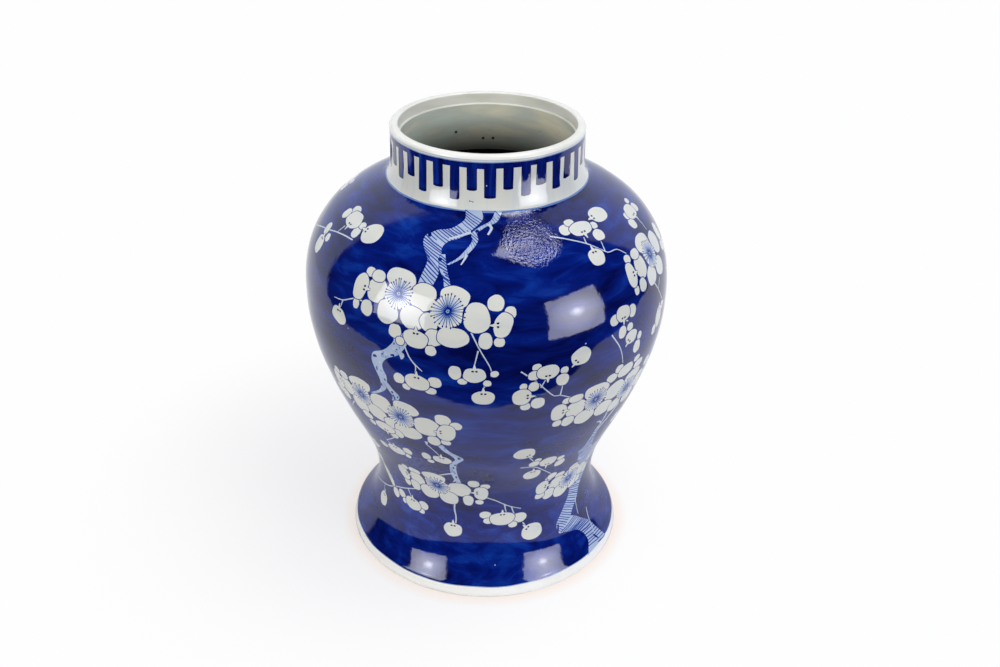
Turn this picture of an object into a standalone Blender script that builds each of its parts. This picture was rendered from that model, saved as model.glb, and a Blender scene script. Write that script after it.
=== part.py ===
"""Porcelain baluster jar, in the sections that a potter throws and joins.

The jar stands on z = 0, with its axis on Z. From the floor up it is a splayed foot skirt closed by
a recessed base slab, a lower body, an upper body with high shoulders, and a short upright neck with
a seat for a cover inside its lip. Each section ends in a tongue and a rebate, and a ring of slip
fills the step between them. All lengths are in metres.
"""

import math

import bmesh
import bpy

# Outer outline, from the floor up: rises add up, so what stands on a section moves with it.
FOOT_RADIUS = 0.1344
FOOT_BAND_HEIGHT = 0.0108
FOOT_BAND_LEAN = 0.0030
FLARE_RISE = 0.0132
FLARE_DRAW_IN = 0.0118
COVE_RISE = 0.0140
COVE_DRAW_IN = 0.0076
WAIST_RISE = 0.0290
WAIST_RADIUS = 0.1069
STEM_RISE = 0.0330
STEM_SPREAD = 0.0049
FLANK_RISE = 0.0470
FLANK_SPREAD = 0.0192
BELLY_RISE = 0.1210
BELLY_RADIUS = 0.1653
SHOULDER_RISE = 0.0680
SHOULDER_DRAW_IN = 0.0203
NECK_ROOT_RISE = 0.0371
NECK_ROOT_RADIUS = 0.0886
NECK_COVE_RISE = 0.0149
NECK_COVE_DRAW_IN = 0.0038
NECK_HOLLOW_RISE = 0.0100
NECK_HOLLOW_DEPTH = 0.0005
NECK_RISE = 0.0469
NECK_TAPER = 0.0039

# How fast the outer radius grows with height where two stretches of the outline meet.
FOOT_EDGE_SLOPE = -0.93
FLARE_SLOPE = -0.77
COVE_SLOPE = -0.34
STEM_SLOPE = 0.27
FLANK_SLOPE = 0.47
SHOULDER_SLOPE = -0.80
NECK_ROOT_SLOPE = -2.47
NECK_FOOT_SLOPE = -0.55
NECK_COVE_SLOPE = -0.09
LIP_SLOPE = 0.02

# Walls, lip and mouth.
BODY_WALL = 0.0075
FOOT_WALL = 0.0090
FOOT_RING_WIDTH = 0.0130
FOOT_CHAMFER = 0.0012
LIP_WALL = 0.0075
COVER_SEAT_STEP = 0.0015
COVER_SEAT_DEPTH = 0.0100
LIP_ROUND = 0.0030
LIP_INNER_ROUND = 0.0010

# Base slab and the coil of clay under its edge.
BASE_RECESS = 0.0160
BASE_THICKNESS = 0.0095
BASE_COIL_RADIUS = 0.0026

# Joints between sections.
LAP_HEIGHT = 0.0040
TONGUE_SHARE = 0.5
SLIP_THICKNESS = 0.0012
CLEARANCE = 0.0003

# Facets: sides round the axis, and points along each stretch of a curve.
SIDES = 64
FLARE_STEPS = 3
COVE_STEPS = 3
WAIST_STEPS = 4
STEM_STEPS = 4
FLANK_STEPS = 3
BELLY_STEPS = 5
SHOULDER_STEPS = 4
NECK_ROOT_STEPS = 4
NECK_COVE_STEPS = 4
NECK_STEPS = 2
ROUND_STEPS = 3
COIL_SIDES = 6

MERGE_DISTANCE = 0.00001
SHARP_ANGLE = math.radians(35)

# Stations of the outline: height, radius and slope.
FOOT_EDGE = (FOOT_BAND_HEIGHT, FOOT_RADIUS - FOOT_BAND_LEAN, FOOT_EDGE_SLOPE)
FLARE = (FOOT_EDGE[0] + FLARE_RISE, FOOT_EDGE[1] - FLARE_DRAW_IN, FLARE_SLOPE)
COVE = (FLARE[0] + COVE_RISE, FLARE[1] - COVE_DRAW_IN, COVE_SLOPE)
WAIST = (COVE[0] + WAIST_RISE, WAIST_RADIUS, 0.0)
STEM = (WAIST[0] + STEM_RISE, WAIST[1] + STEM_SPREAD, STEM_SLOPE)
FLANK = (STEM[0] + FLANK_RISE, STEM[1] + FLANK_SPREAD, FLANK_SLOPE)
BELLY = (FLANK[0] + BELLY_RISE, BELLY_RADIUS, 0.0)
SHOULDER = (BELLY[0] + SHOULDER_RISE, BELLY_RADIUS - SHOULDER_DRAW_IN, SHOULDER_SLOPE)
NECK_ROOT = (SHOULDER[0] + NECK_ROOT_RISE, NECK_ROOT_RADIUS, NECK_ROOT_SLOPE)

LIP_HEIGHT = NECK_ROOT[0] + NECK_RISE
LIP_RADIUS = NECK_ROOT_RADIUS - NECK_TAPER
COVER_SEAT_RADIUS = LIP_RADIUS - LIP_WALL
THROAT_RADIUS = COVER_SEAT_RADIUS - COVER_SEAT_STEP
JOINT_GAP = SLIP_THICKNESS + 2 * CLEARANCE
NECK_FOOT = (NECK_ROOT[0] + JOINT_GAP, NECK_ROOT_RADIUS, NECK_FOOT_SLOPE)
NECK_COVE = (NECK_ROOT[0] + NECK_COVE_RISE, NECK_ROOT_RADIUS - NECK_COVE_DRAW_IN, NECK_COVE_SLOPE)
NECK_HOLLOW = (NECK_COVE[0] + NECK_HOLLOW_RISE, LIP_RADIUS - NECK_HOLLOW_DEPTH, 0.0)
LIP_FOOT = (LIP_HEIGHT - LIP_ROUND, LIP_RADIUS, LIP_SLOPE)


def curve_point(lower, upper, share):
    """Radius, height and slope at a share of the way up a Hermite curve between two stations."""
    rise = upper[0] - lower[0]
    square, cube = share**2, share**3
    radius = (
        (2 * cube - 3 * square + 1) * lower[1]
        + (cube - 2 * square + share) * rise * lower[2]
        + (3 * square - 2 * cube) * upper[1]
        + (cube - square) * rise * upper[2]
    )
    slope = (
        (6 * square - 6 * share) * (lower[1] - upper[1]) / rise
        + (3 * square - 4 * share + 1) * lower[2]
        + (3 * square - 2 * share) * upper[2]
    )
    return radius, lower[0] + share * rise, slope


def behind(stretches, depth=0.0):
    """The outline of neighbouring stretches, from the bottom up, moved a depth in from its surface."""
    points = []
    for lower, upper, steps in stretches:
        for step in range(1 if points else 0, steps + 1):
            radius, height, slope = curve_point(lower, upper, step / steps)
            length = math.hypot(1.0, slope)
            points.append((radius - depth / length, height + depth * slope / length))
    return points


def between(points, low, high):
    """The points of an outline whose height lies between two limits, and not on them."""
    return [point for point in points if low + MERGE_DISTANCE < point[1] < high - MERGE_DISTANCE]


def crossing(points, height):
    """The point where a rising outline passes a height, carried on straight past its ends."""
    for below, above in zip(points, points[1:]):
        if above[1] >= height:
            break
    share = (height - below[1]) / (above[1] - below[1])
    return below[0] + share * (above[0] - below[0]), height


def lap_step(joint, offset):
    """The step across a joint, from outside to inside, raised and widened by an offset."""
    height, outer_radius, inner_radius = joint
    middle = inner_radius + TONGUE_SHARE * (outer_radius - inner_radius) + offset
    low, high = height + offset, height + offset + LAP_HEIGHT
    return [(outer_radius, low), (middle, low), (middle, high), (inner_radius, high)]


def section_top(joint):
    """Upper end of a section: an outer land, and a tongue that rises inside it."""
    return lap_step(joint, 0.0)


def section_bottom(joint):
    """Lower end of the next section: a rebate that covers the tongue and leaves room for slip."""
    return lap_step(joint, JOINT_GAP)[::-1]


def slip_ring(joint):
    """The slip that fills the step between two sections, clear of both."""
    return lap_step(joint, CLEARANCE) + lap_step(joint, JOINT_GAP - CLEARANCE)[::-1]


def arc(centre_radius, centre_height, size, start, end, steps=ROUND_STEPS):
    """Points of an arc in the outline's plane; angles are in degrees from outwards."""
    points = []
    for step in range(steps + 1):
        angle = math.radians(start + (end - start) * step / steps)
        points.append(
            (centre_radius + size * math.cos(angle), centre_height + size * math.sin(angle))
        )
    return points


# Each section's stretches: lower station, upper station and how many steps the curve takes.
FOOT_SKIRT = [(FOOT_EDGE, FLARE, FLARE_STEPS), (FLARE, COVE, COVE_STEPS), (COVE, WAIST, WAIST_STEPS)]
LOWER_BODY = [(WAIST, STEM, STEM_STEPS), (STEM, FLANK, FLANK_STEPS), (FLANK, BELLY, BELLY_STEPS)]
UPPER_BODY = [(BELLY, SHOULDER, SHOULDER_STEPS), (SHOULDER, NECK_ROOT, NECK_ROOT_STEPS)]
NECK = [(NECK_FOOT, NECK_COVE, NECK_COVE_STEPS), (NECK_COVE, NECK_HOLLOW, NECK_STEPS),
        (NECK_HOLLOW, LIP_FOOT, NECK_STEPS)]

# Each joint: height of its outer land, and the wall's outer and inner radius there.
WAIST_JOINT = (WAIST[0], WAIST_RADIUS, WAIST_RADIUS - FOOT_WALL)
BELLY_JOINT = (BELLY[0], BELLY_RADIUS, BELLY_RADIUS - BODY_WALL)
NECK_JOINT = (NECK_ROOT[0], NECK_ROOT_RADIUS, THROAT_RADIUS)


def foot_recess():
    """The cone under the base slab: the inner edge of the foot ring, then the slab's lower edge."""
    return (FOOT_RADIUS - FOOT_RING_WIDTH, 0.0), crossing(behind(FOOT_SKIRT, FOOT_WALL), BASE_RECESS)


def foot_skirt_outline():
    chamfer_foot = (FOOT_RADIUS - FOOT_CHAMFER, 0.0)
    chamfer_top = (FOOT_RADIUS, FOOT_CHAMFER)
    band_top = (FOOT_EDGE[1], FOOT_EDGE[0])
    outer = between(behind(FOOT_SKIRT), FOOT_EDGE[0], WAIST[0])
    inner = between(behind(FOOT_SKIRT, FOOT_WALL), BASE_RECESS, WAIST[0])
    ring_edge, slab_edge = foot_recess()
    return (
        [chamfer_foot, chamfer_top, band_top]
        + outer
        + section_top(WAIST_JOINT)
        + inner[::-1]
        + [slab_edge, ring_edge]
    )


def lower_body_outline():
    outer = between(behind(LOWER_BODY), WAIST[0] + JOINT_GAP, BELLY[0])
    inner = between(behind(LOWER_BODY, BODY_WALL), WAIST[0] + LAP_HEIGHT + JOINT_GAP, BELLY[0])
    return section_bottom(WAIST_JOINT) + outer + section_top(BELLY_JOINT) + inner[::-1]


def upper_body_outline():
    outer = between(behind(UPPER_BODY), BELLY[0] + JOINT_GAP, NECK_ROOT[0])
    inner = between(behind(UPPER_BODY, BODY_WALL), BELLY[0] + LAP_HEIGHT + JOINT_GAP, NECK_ROOT[0])
    inner = [point for point in inner if point[0] > THROAT_RADIUS]
    radius, height = inner[-1]
    throat_edge = (THROAT_RADIUS, height + (radius - THROAT_RADIUS) / -NECK_ROOT_SLOPE)
    return (
        section_bottom(BELLY_JOINT)
        + outer
        + section_top(NECK_JOINT)
        + [throat_edge]
        + inner[::-1]
    )


def neck_collar_outline():
    outer = between(behind(NECK), NECK_FOOT[0], LIP_FOOT[0])
    outer_round = arc(LIP_RADIUS - LIP_ROUND, LIP_HEIGHT - LIP_ROUND, LIP_ROUND, 0, 90)
    inner_round = arc(
        COVER_SEAT_RADIUS + LIP_INNER_ROUND, LIP_HEIGHT - LIP_INNER_ROUND, LIP_INNER_ROUND, 90, 180
    )
    seat_height = LIP_HEIGHT - COVER_SEAT_DEPTH
    seat = [(COVER_SEAT_RADIUS, seat_height), (THROAT_RADIUS, seat_height)]
    return section_bottom(NECK_JOINT) + outer + outer_round + inner_round + seat


def base_slab_outline():
    """A disc with a conical edge that follows the inside of the flare, a clearance away."""
    low, high = BASE_RECESS, BASE_RECESS + BASE_THICKNESS
    wall = behind(FOOT_SKIRT, FOOT_WALL + CLEARANCE)
    edge = [crossing(wall, low)] + between(wall, low, high) + [crossing(wall, high)]
    return [(0.0, low)] + edge + [(0.0, high)]


def base_coil_outline():
    """A coil pressed into the corner between the slab and the cone under it."""
    ring_edge, slab_edge = foot_recess()
    lean = (ring_edge[0] - slab_edge[0]) / BASE_RECESS
    reach = BASE_COIL_RADIUS + CLEARANCE
    radius = slab_edge[0] + lean * reach - reach * math.hypot(1.0, lean)
    turn = 360 / COIL_SIDES
    return arc(radius, BASE_RECESS - reach, BASE_COIL_RADIUS, 90, 450 - turn, COIL_SIDES - 1)


def glazed(name, colour, roughness):
    """Glossy fired clay in one plain colour."""
    material = bpy.data.materials.new(name)
    material.use_nodes = True
    shader = material.node_tree.nodes["Principled BSDF"]
    shader.inputs["Base Color"].default_value = (*colour, 1.0)
    shader.inputs["Roughness"].default_value = roughness
    shader.inputs["Metallic"].default_value = 0.0
    material.diffuse_color = (*colour, 1.0)
    return material


def turned(name, outline, material, on_axis=False):
    """Spin an outline of (radius, height) points once round Z into one closed, smooth body."""
    shape = bmesh.new()
    points = [shape.verts.new((radius, 0.0, height)) for radius, height in outline]
    ends = points[1:] if on_axis else points[1:] + points[:1]
    edges = [shape.edges.new(pair) for pair in zip(points, ends)]
    bmesh.ops.spin(
        shape,
        geom=points + edges,
        cent=(0.0, 0.0, 0.0),
        axis=(0.0, 0.0, 1.0),
        dvec=(0.0, 0.0, 0.0),
        angle=math.tau,
        steps=SIDES,
    )
    bmesh.ops.remove_doubles(shape, verts=shape.verts[:], dist=MERGE_DISTANCE)
    bmesh.ops.recalc_face_normals(shape, faces=shape.faces[:])
    mesh = bpy.data.meshes.new(name)
    shape.to_mesh(mesh)
    shape.free()
    mesh.shade_smooth()
    mesh.set_sharp_from_angle(angle=SHARP_ANGLE)
    mesh.materials.append(material)
    body = bpy.data.objects.new(name, mesh)
    bpy.context.scene.collection.objects.link(body)
    return body


def build():
    for old in list(bpy.data.objects):
        bpy.data.objects.remove(old, do_unlink=True)
    cobalt = (0.010, 0.018, 0.165)
    porcelain = (0.78, 0.80, 0.76)
    biscuit = (0.84, 0.80, 0.74)
    turned("foot_skirt", foot_skirt_outline(), glazed("foot_cobalt_glaze", cobalt, 0.12))
    turned("lower_body", lower_body_outline(), glazed("lower_cobalt_glaze", cobalt, 0.12))
    turned("upper_body", upper_body_outline(), glazed("upper_cobalt_glaze", cobalt, 0.12))
    turned("neck_collar", neck_collar_outline(), glazed("neck_clear_glaze", porcelain, 0.15))
    turned("base_slab", base_slab_outline(), glazed("base_clear_glaze", porcelain, 0.20), on_axis=True)
    turned("base_luting_coil", base_coil_outline(), glazed("base_slip", biscuit, 0.60))
    turned("waist_slip_joint", slip_ring(WAIST_JOINT), glazed("waist_slip", biscuit, 0.60))
    turned("belly_slip_joint", slip_ring(BELLY_JOINT), glazed("belly_slip", biscuit, 0.60))
    turned("neck_slip_joint", slip_ring(NECK_JOINT), glazed("neck_slip", biscuit, 0.60))


build()
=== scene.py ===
# %% [markdown]
# # A blue and white porcelain jar
#
# A jar of this size is thrown on a wheel in sections, joined with slip, painted with cobalt on the
# raw clay and fired under one clear glaze. The solids that carry it are made already. This file
# makes what the eye meets: the painted wall of each section, the bare clay of its edges, and the
# slip in its joints. The frame is loaded first, because every piece takes its place from it.

# %% The fixed frame
import math
import random

import bmesh
import bpy
import numpy as np
from mathutils import Matrix, Vector, geometry, kdtree


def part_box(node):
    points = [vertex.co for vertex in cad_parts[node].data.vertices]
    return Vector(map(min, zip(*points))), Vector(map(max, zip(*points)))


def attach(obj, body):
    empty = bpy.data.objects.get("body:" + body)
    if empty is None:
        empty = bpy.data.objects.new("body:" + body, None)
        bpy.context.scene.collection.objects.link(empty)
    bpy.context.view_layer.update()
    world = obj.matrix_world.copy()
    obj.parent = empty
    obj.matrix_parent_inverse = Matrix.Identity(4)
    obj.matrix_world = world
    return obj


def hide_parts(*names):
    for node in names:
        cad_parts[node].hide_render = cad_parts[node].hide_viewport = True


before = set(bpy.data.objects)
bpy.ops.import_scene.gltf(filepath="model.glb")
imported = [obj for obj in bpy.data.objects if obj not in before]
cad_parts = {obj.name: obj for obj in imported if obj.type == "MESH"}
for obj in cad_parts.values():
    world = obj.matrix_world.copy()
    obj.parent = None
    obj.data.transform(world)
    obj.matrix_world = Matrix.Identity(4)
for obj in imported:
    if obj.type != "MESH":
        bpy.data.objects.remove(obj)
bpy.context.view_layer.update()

# %% [markdown]
# ## Units and colours
#
# The jar is measured in millimetres, as a potter would, and Blender works in metres. Colours are
# picked as sRGB hex values, and shaders mix linear light, so one function turns them.

# %% Units and colours
MM = 0.001


def linear(code):
    """An sRGB hex colour as linear red, green, blue and full alpha."""
    channels = [int(code[place : place + 2], 16) / 255 for place in (1, 3, 5)]
    lit = [c / 12.92 if c <= 0.04045 else ((c + 0.055) / 1.055) ** 2.4 for c in channels]
    return (*lit, 1.0)


# %% [markdown]
# ## The outside of the wall
#
# One curve runs up the whole jar, from the foot ring to the lip, and the sections are cut from it
# later. It could be drawn as a spline and sampled. Here each station gives a height, a radius and
# how fast the radius grows, with Hermite curves between, because those are the numbers that a
# potter checks with callipers. The curve is then walked at an even pace, so that a place on the
# wall has two plain coordinates: an angle round the jar, and a run up the wall. Runs are counted
# from the belly, which is 291.5, because the painting is laid out from there. The belly is drawn in
# by a quarter of a millimetre, so that the lobes of the thrown wall stay within the jar's true size.

# %% The outside of the wall
FOOT_UNDERSIDE = (133.2, 0.0)
FOOT_CHAMFER_TOP = (134.4, 1.2)
WAIST_HEIGHT = 67.0
WAIST_RADIUS = 106.9
BELLY_HEIGHT = 268.0
BELLY_RADIUS = 165.3
BELLY_RUN = 291.5
LOBE_ROOM = 0.25
NECK_ROOT_HEIGHT = 373.1
NECK_ROOT_RADIUS = 88.6
LIP_RADIUS = 84.7
LIP_HEIGHT = 420.0
LIP_ROUND = 3.0
BODY_STATIONS = [
    (10.8, 131.4, -0.93),
    (24.0, 119.6, -0.77),
    (38.0, 112.0, -0.34),
    (WAIST_HEIGHT, WAIST_RADIUS, 0.0),
    (100.0, 111.8, 0.27),
    (147.0, 131.0, 0.47),
    (BELLY_HEIGHT, BELLY_RADIUS - LOBE_ROOM, 0.0),
    (336.0, 145.0, -0.80),
    (NECK_ROOT_HEIGHT, NECK_ROOT_RADIUS, -2.47),
]
NECK_STATIONS = [
    (NECK_ROOT_HEIGHT, NECK_ROOT_RADIUS, -0.50),
    (388.0, 84.8, -0.09),
    (398.0, 84.2, 0.0),
    (LIP_HEIGHT - LIP_ROUND, LIP_RADIUS, 0.02),
]
CURVE_STEPS = 60
PACE = 0.25
BLUR_REACH = 6.0
CORNER_ROUND = 0.8
ROOT_ROUND = 2.2
ROOT_SPAN = 7.0
END_KEPT = 1.5


def outside_points():
    """Radius and height of points up the outside, from the foot ring to the start of the lip."""
    points = [FOOT_UNDERSIDE, FOOT_CHAMFER_TOP]
    for stations in (BODY_STATIONS, NECK_STATIONS):
        for (low, start, lean), (high, end, end_lean) in zip(stations, stations[1:]):
            rise = high - low
            for share in np.linspace(0, 1, CURVE_STEPS):
                square, cube = share**2, share**3
                radius = (2 * cube - 3 * square + 1) * start + (cube - 2 * square + share) * rise * lean
                radius += (3 * square - 2 * cube) * end + (cube - square) * rise * end_lean
                points.append((radius, low + share * rise))
    return np.array(points)


def walk(points):
    """The same curve at an even pace, with its corners softened as glaze softens them."""
    lengths = np.hypot(*np.diff(points, axis=0).T)
    points, lengths = points[np.r_[True, lengths > 1e-6]], lengths[lengths > 1e-6]
    along = np.r_[0, np.cumsum(lengths)]
    runs = np.linspace(0, along[-1], int(along[-1] / PACE) + 1)
    even = np.stack([np.interp(runs, along, points[:, k]) for k in (0, 1)], 1)
    reach = int(BLUR_REACH / PACE)
    offsets = np.arange(-reach, reach + 1) * PACE
    ends = np.concatenate([2 * even[0] - even[reach:0:-1], even, 2 * even[-1] - even[-2 : -reach - 2 : -1]])

    def softened(size):
        weights = np.exp(-0.5 * (offsets / size) ** 2)
        return np.stack([np.convolve(ends[:, k], weights / weights.sum(), "valid") for k in (0, 1)], 1)

    root = runs[np.argmin(np.abs(even[:, 1] - NECK_ROOT_HEIGHT))]
    share = np.exp(-(((runs - root) / ROOT_SPAN) ** 2))[:, None]
    inner = (1 - share) * softened(CORNER_ROUND) + share * softened(ROOT_ROUND)
    fade = (np.clip(runs / END_KEPT, 0, 1) * np.clip((runs[-1] - runs) / END_KEPT, 0, 1))[:, None]
    even = even * (1 - fade) + inner * fade
    return runs + BELLY_RUN - np.interp(BELLY_HEIGHT, even[:, 1], runs), even


RUNS, WALL = walk(outside_points())
FLOOR_RUN, TOP_RUN = RUNS[0], RUNS[-1]


def run_at(height):
    """How far up the wall a height lies."""
    return float(np.interp(height, WALL[:, 1], RUNS))


def degree(run):
    """How many mm one degree round the jar spans at a run."""
    return np.interp(run, RUNS, WALL[:, 0]) * math.radians(1)


print(f"the wall runs from {FLOOR_RUN:.1f} mm at the floor to {TOP_RUN:.1f} mm at the lip")

# %% [markdown]
# ## A wall made by hand
#
# A thrown wall is never quite round: it dries into faint lobes, and the fingers leave soft rings.
# The amounts are a fifth of a millimetre, too small to see as shape, but a glossy glaze shows them
# at once where a lamp's mirror image bends. They could be bump in the material. They go into the
# mesh, so that every view has the same wall.

# %% A wall made by hand
OVAL_DEPTH = 0.22
LOBE_DEPTH = 0.10
RING_DEPTH = 0.05
RING_SPACING = 33.0


def thrown(angle, run):
    """How far the wall stands off its true circle, in mm."""
    turn = np.radians(angle)
    lobes = OVAL_DEPTH * np.sin(2 * turn + 0.8) + LOBE_DEPTH * np.sin(3 * turn + run / 70)
    rings = RING_DEPTH * np.sin(math.tau * run / RING_SPACING + 0.7 * np.sin(turn))
    return lobes + rings


def on_wall(angle, run):
    """The point on the outside at an angle in degrees (0 faces the viewer) and a run in mm."""
    turn = np.radians(angle)
    radius = np.interp(run, RUNS, WALL[:, 0]) + thrown(angle, run)
    height = np.interp(run, RUNS, WALL[:, 1])
    return np.stack([radius * np.sin(turn), -radius * np.cos(turn), height], -1) * MM


def wall_normal(angle, run):
    """The outward direction there, from neighbouring points on the wall."""
    round_it = on_wall(angle + 0.3, run) - on_wall(angle - 0.3, run)
    above, below = np.minimum(run + 0.8, TOP_RUN), np.maximum(run - 0.8, FLOOR_RUN)
    up_it = on_wall(angle, above) - on_wall(angle, below)
    normal = np.cross(round_it, up_it)
    return normal / np.linalg.norm(normal, axis=-1, keepdims=True)


# %% [markdown]
# ## Brush strokes as shapes
#
# The painting is what makes this jar. It could be a texture, but nothing may be read from an image,
# and a texture's edges blur. So every stroke is a flat shape on the unrolled wall, and the wall's
# mesh is cut along the strokes, as in inlay. A stroke holds its outline, how strong its cobalt is,
# and sometimes the stroke that it stays inside. White petals are strokes of no cobalt at all: the
# painter leaves the clay bare and fills the ground in round them. The values are how strong the
# cobalt is, from bare clay up to the ground and a little past it, and then three sizes in mm.

# %% Brush strokes as shapes
RESERVE = 0.0
TWIG = 0.10
BARK = 0.18
BARK_LINE = 0.68
LINE = 0.86
KNOT = 0.90
GROUND = 1.0
DOT = 1.1
PEN = 0.7
PLUMP = 1.0
POINT_TUCK = 0.6
strokes = []


def paint(points, level, inside=None):
    """Lay a stroke over the earlier ones and return its number."""
    strokes.append((np.array(points, float), level, inside))
    return len(strokes) - 1


def fuller(share):
    """A sine or cosine swelled a little, which squares an oval's corners."""
    return math.copysign(abs(share) ** 0.9, share)


def oval(angle, run, width, height, tilt=0.0, inset=0.0, wobble=0.03):
    """A hand-drawn oval: its points as angle and run, its size in mm."""
    hand = random.Random(f"{angle:.2f} {run:.2f}")
    waves = [(lobe, hand.uniform(0, math.tau), hand.uniform(0.3, 1) * wobble) for lobe in (2, 3, 5)]
    count = int(min(30, max(10, (width + height) * 0.75)))
    lean = math.radians(tilt)
    cosine, sine = math.cos(lean), math.sin(lean)
    points = []
    for step in range(count):
        turn = math.tau * step / count
        reach = 1 + sum(size * math.sin(lobe * turn + phase) for lobe, phase, size in waves)
        across = (width / 2 - inset) * reach * fuller(math.cos(turn))
        up = (height / 2 - inset) * reach * fuller(math.sin(turn))
        across, up = across * cosine - up * sine, across * sine + up * cosine
        points.append((angle + across / degree(run), run + up))
    return points


def petal(angle, run, width, height, tilt=0.0):
    """A bare petal inside a thin dark line."""
    paint(oval(angle, run, width + PLUMP, height + PLUMP, tilt, -PEN), LINE)
    paint(oval(angle, run, width + PLUMP, height + PLUMP, tilt), RESERVE)


def petals(places):
    """Bare petals, in the order in which they overlap."""
    for place in places:
        petal(*place)


# %% [markdown]
# ## Flowers and buds
#
# An open flower is a ring of petals round a pale wash, with stamens that fan out from a dark eye. A
# bud is one petal with two dots where it joins its stalk, on a small white point. Both are
# functions, because the painter repeats them too, and each call gives only places and sizes.

# %% Flowers and buds
SIDES = {
    "left": (-1.0, 0.0),
    "right": (1.0, 0.0),
    "top": (0.0, 1.0),
    "bottom": (0.0, -1.0),
    "low right": (0.7, -0.7),
    "low left": (-0.7, -0.7),
    "high left": (-0.7, 0.7),
}
STAMENS = 27
WASH_RINGS = [(0.94, 0.0), (0.78, 0.06), (0.64, 0.12), (0.50, 0.20), (0.38, 0.32), (0.28, 0.46)]
EYE_RINGS = [(6.2, 0.86), (2.8, 0.24), (1.5, 0.6)]


def set_off(angle, run, way, out, aside):
    """The place some mm out along a way from another place, and some mm aside."""
    across, up = way
    return angle + (out * across - aside * up) / degree(run), run + out * up + aside * across


def mirrored(half):
    """One side of an outline, then the other side back to its start."""
    return half + [(out, -aside) for out, aside in half[::-1]]


def bud(angle, run, width, height, side, tilt=0.0):
    """A petal with a point and two dots on one side."""
    way = SIDES[side]
    reach = math.hypot(way[0] * width, way[1] * height) / 2
    petal(angle, run, width, height, tilt)
    for room, level in ((PEN, LINE), (0.0, RESERVE)):
        half = [(reach - 2.4, -3.2 - room), (reach + 0.8, -1.2 - room), (reach + 4.0, -0.35 - room / 2)]
        paint([set_off(angle, run, way, *corner) for corner in mirrored(half)], level)
    paint(oval(angle, run, width + PLUMP - POINT_TUCK, height + PLUMP - POINT_TUCK, tilt), RESERVE)
    for aside in (-1.6, 1.4):
        paint(oval(*set_off(angle, run, way, reach - 2.6, aside), 2.2, 1.8, wobble=0.12), DOT)


def flower(angle, run, around, stamen_reach=12.6):
    """Its petals, then the wash, the stamens and the eye."""
    petals(around)
    for share, level in WASH_RINGS:
        paint(oval(angle, run, 2 * share * stamen_reach, 2 * share * stamen_reach, wobble=0.06), level)
    hand = random.Random(f"stamens {angle} {run}")
    for number in range(STAMENS):
        turn = math.tau * (number + hand.uniform(-0.25, 0.25)) / STAMENS
        way = math.cos(turn), math.sin(turn)
        far = stamen_reach + hand.uniform(-1.3, 0.9)
        half = [(2.4, -0.28), (far - 1.8, -0.26), (far - 1.0, -0.62), (far, -0.5)]
        paint([set_off(angle, run, way, *corner) for corner in mirrored(half)], hand.uniform(0.70, 0.94))
    for size, level in EYE_RINGS:
        paint(oval(angle, run, size, size, wobble=0.1), level)


# %% [markdown]
# ## Twigs and bark
#
# A twig is one pull of a narrow brush: a smooth path that thins as it goes. The old trunks are
# wider, with two edges of their own and short dark lines across for the bark, or loose flecks where
# they are pale. A path is a curve through a few points, so both start from a function that smooths
# it.

# %% Twigs and bark
CURVE_STEP = 2.6


def smooth(points):
    """A curve through the points, with a point every few mm."""
    points = [np.array(point, float) for point in points]
    padded = [2 * points[0] - points[1], *points, 2 * points[-1] - points[-2]]
    line = []
    for before, start, end, after in zip(padded, padded[1:], padded[2:], padded[3:]):
        away = (end - start) * (degree(start[1]), 1)
        count = max(1, round(float(np.hypot(*away)) / CURVE_STEP))
        for t in np.arange(count) / count:
            place = 2 * start + (end - before) * t + (2 * before - 5 * start + 4 * end - after) * t**2
            line.append(0.5 * (place + (3 * start - before - 3 * end + after) * t**3))
    return np.array([*line, points[-1]])


def twig(points, width=1.3, end_width=0.8, level=TWIG):
    """A thinning stroke along a path."""
    line = smooth(points)
    heading = np.gradient(line, axis=0) * np.stack([degree(line[:, 1]), np.ones(len(line))], 1)
    heading /= np.linalg.norm(heading, axis=1, keepdims=True)
    half = np.linspace(width, end_width, len(line)) / 2
    sideways = np.stack([-heading[:, 1] / degree(line[:, 1]), heading[:, 0]], 1) * half[:, None]
    paint([*(line + sideways), *(line - sideways)[::-1]], level)


BARK_SLANT = (2, 2)
BARK_SPACING = 2.5
BARK_EDGE = 0.45
TRUNK_STEP = 2.2
WHOLE_LINES = 0.93
FLECK_ROOM = 22.0
FLECK_LEVELS = (0.10, 0.26, 0.34, 0.62)


def respaced(line, count):
    """The same line with an even number of points."""
    steps = np.hypot(*(np.diff(line, axis=0) * (degree(line[:-1, 1].mean()), 1)).T)
    along = np.r_[0, np.cumsum(steps)]
    return np.stack([np.interp(np.linspace(0, along[-1], count), along, line[:, k]) for k in (0, 1)], 1)


def flecks(left, right, area, hand, body):
    """Loose flecks of cobalt on a pale trunk."""
    for _ in range(int(area / FLECK_ROOM)):
        place = hand.randrange(1, len(left) - 1)
        fleck = left[place] + hand.uniform(0.15, 0.85) * (right[place] - left[place])
        size = hand.uniform(1.0, 2.4), hand.uniform(1.6, 4.6)
        tilt = hand.uniform(-40, 40)
        paint(oval(*fleck, *size, tilt, wobble=0.15), hand.choice(FLECK_LEVELS), body)


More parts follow.
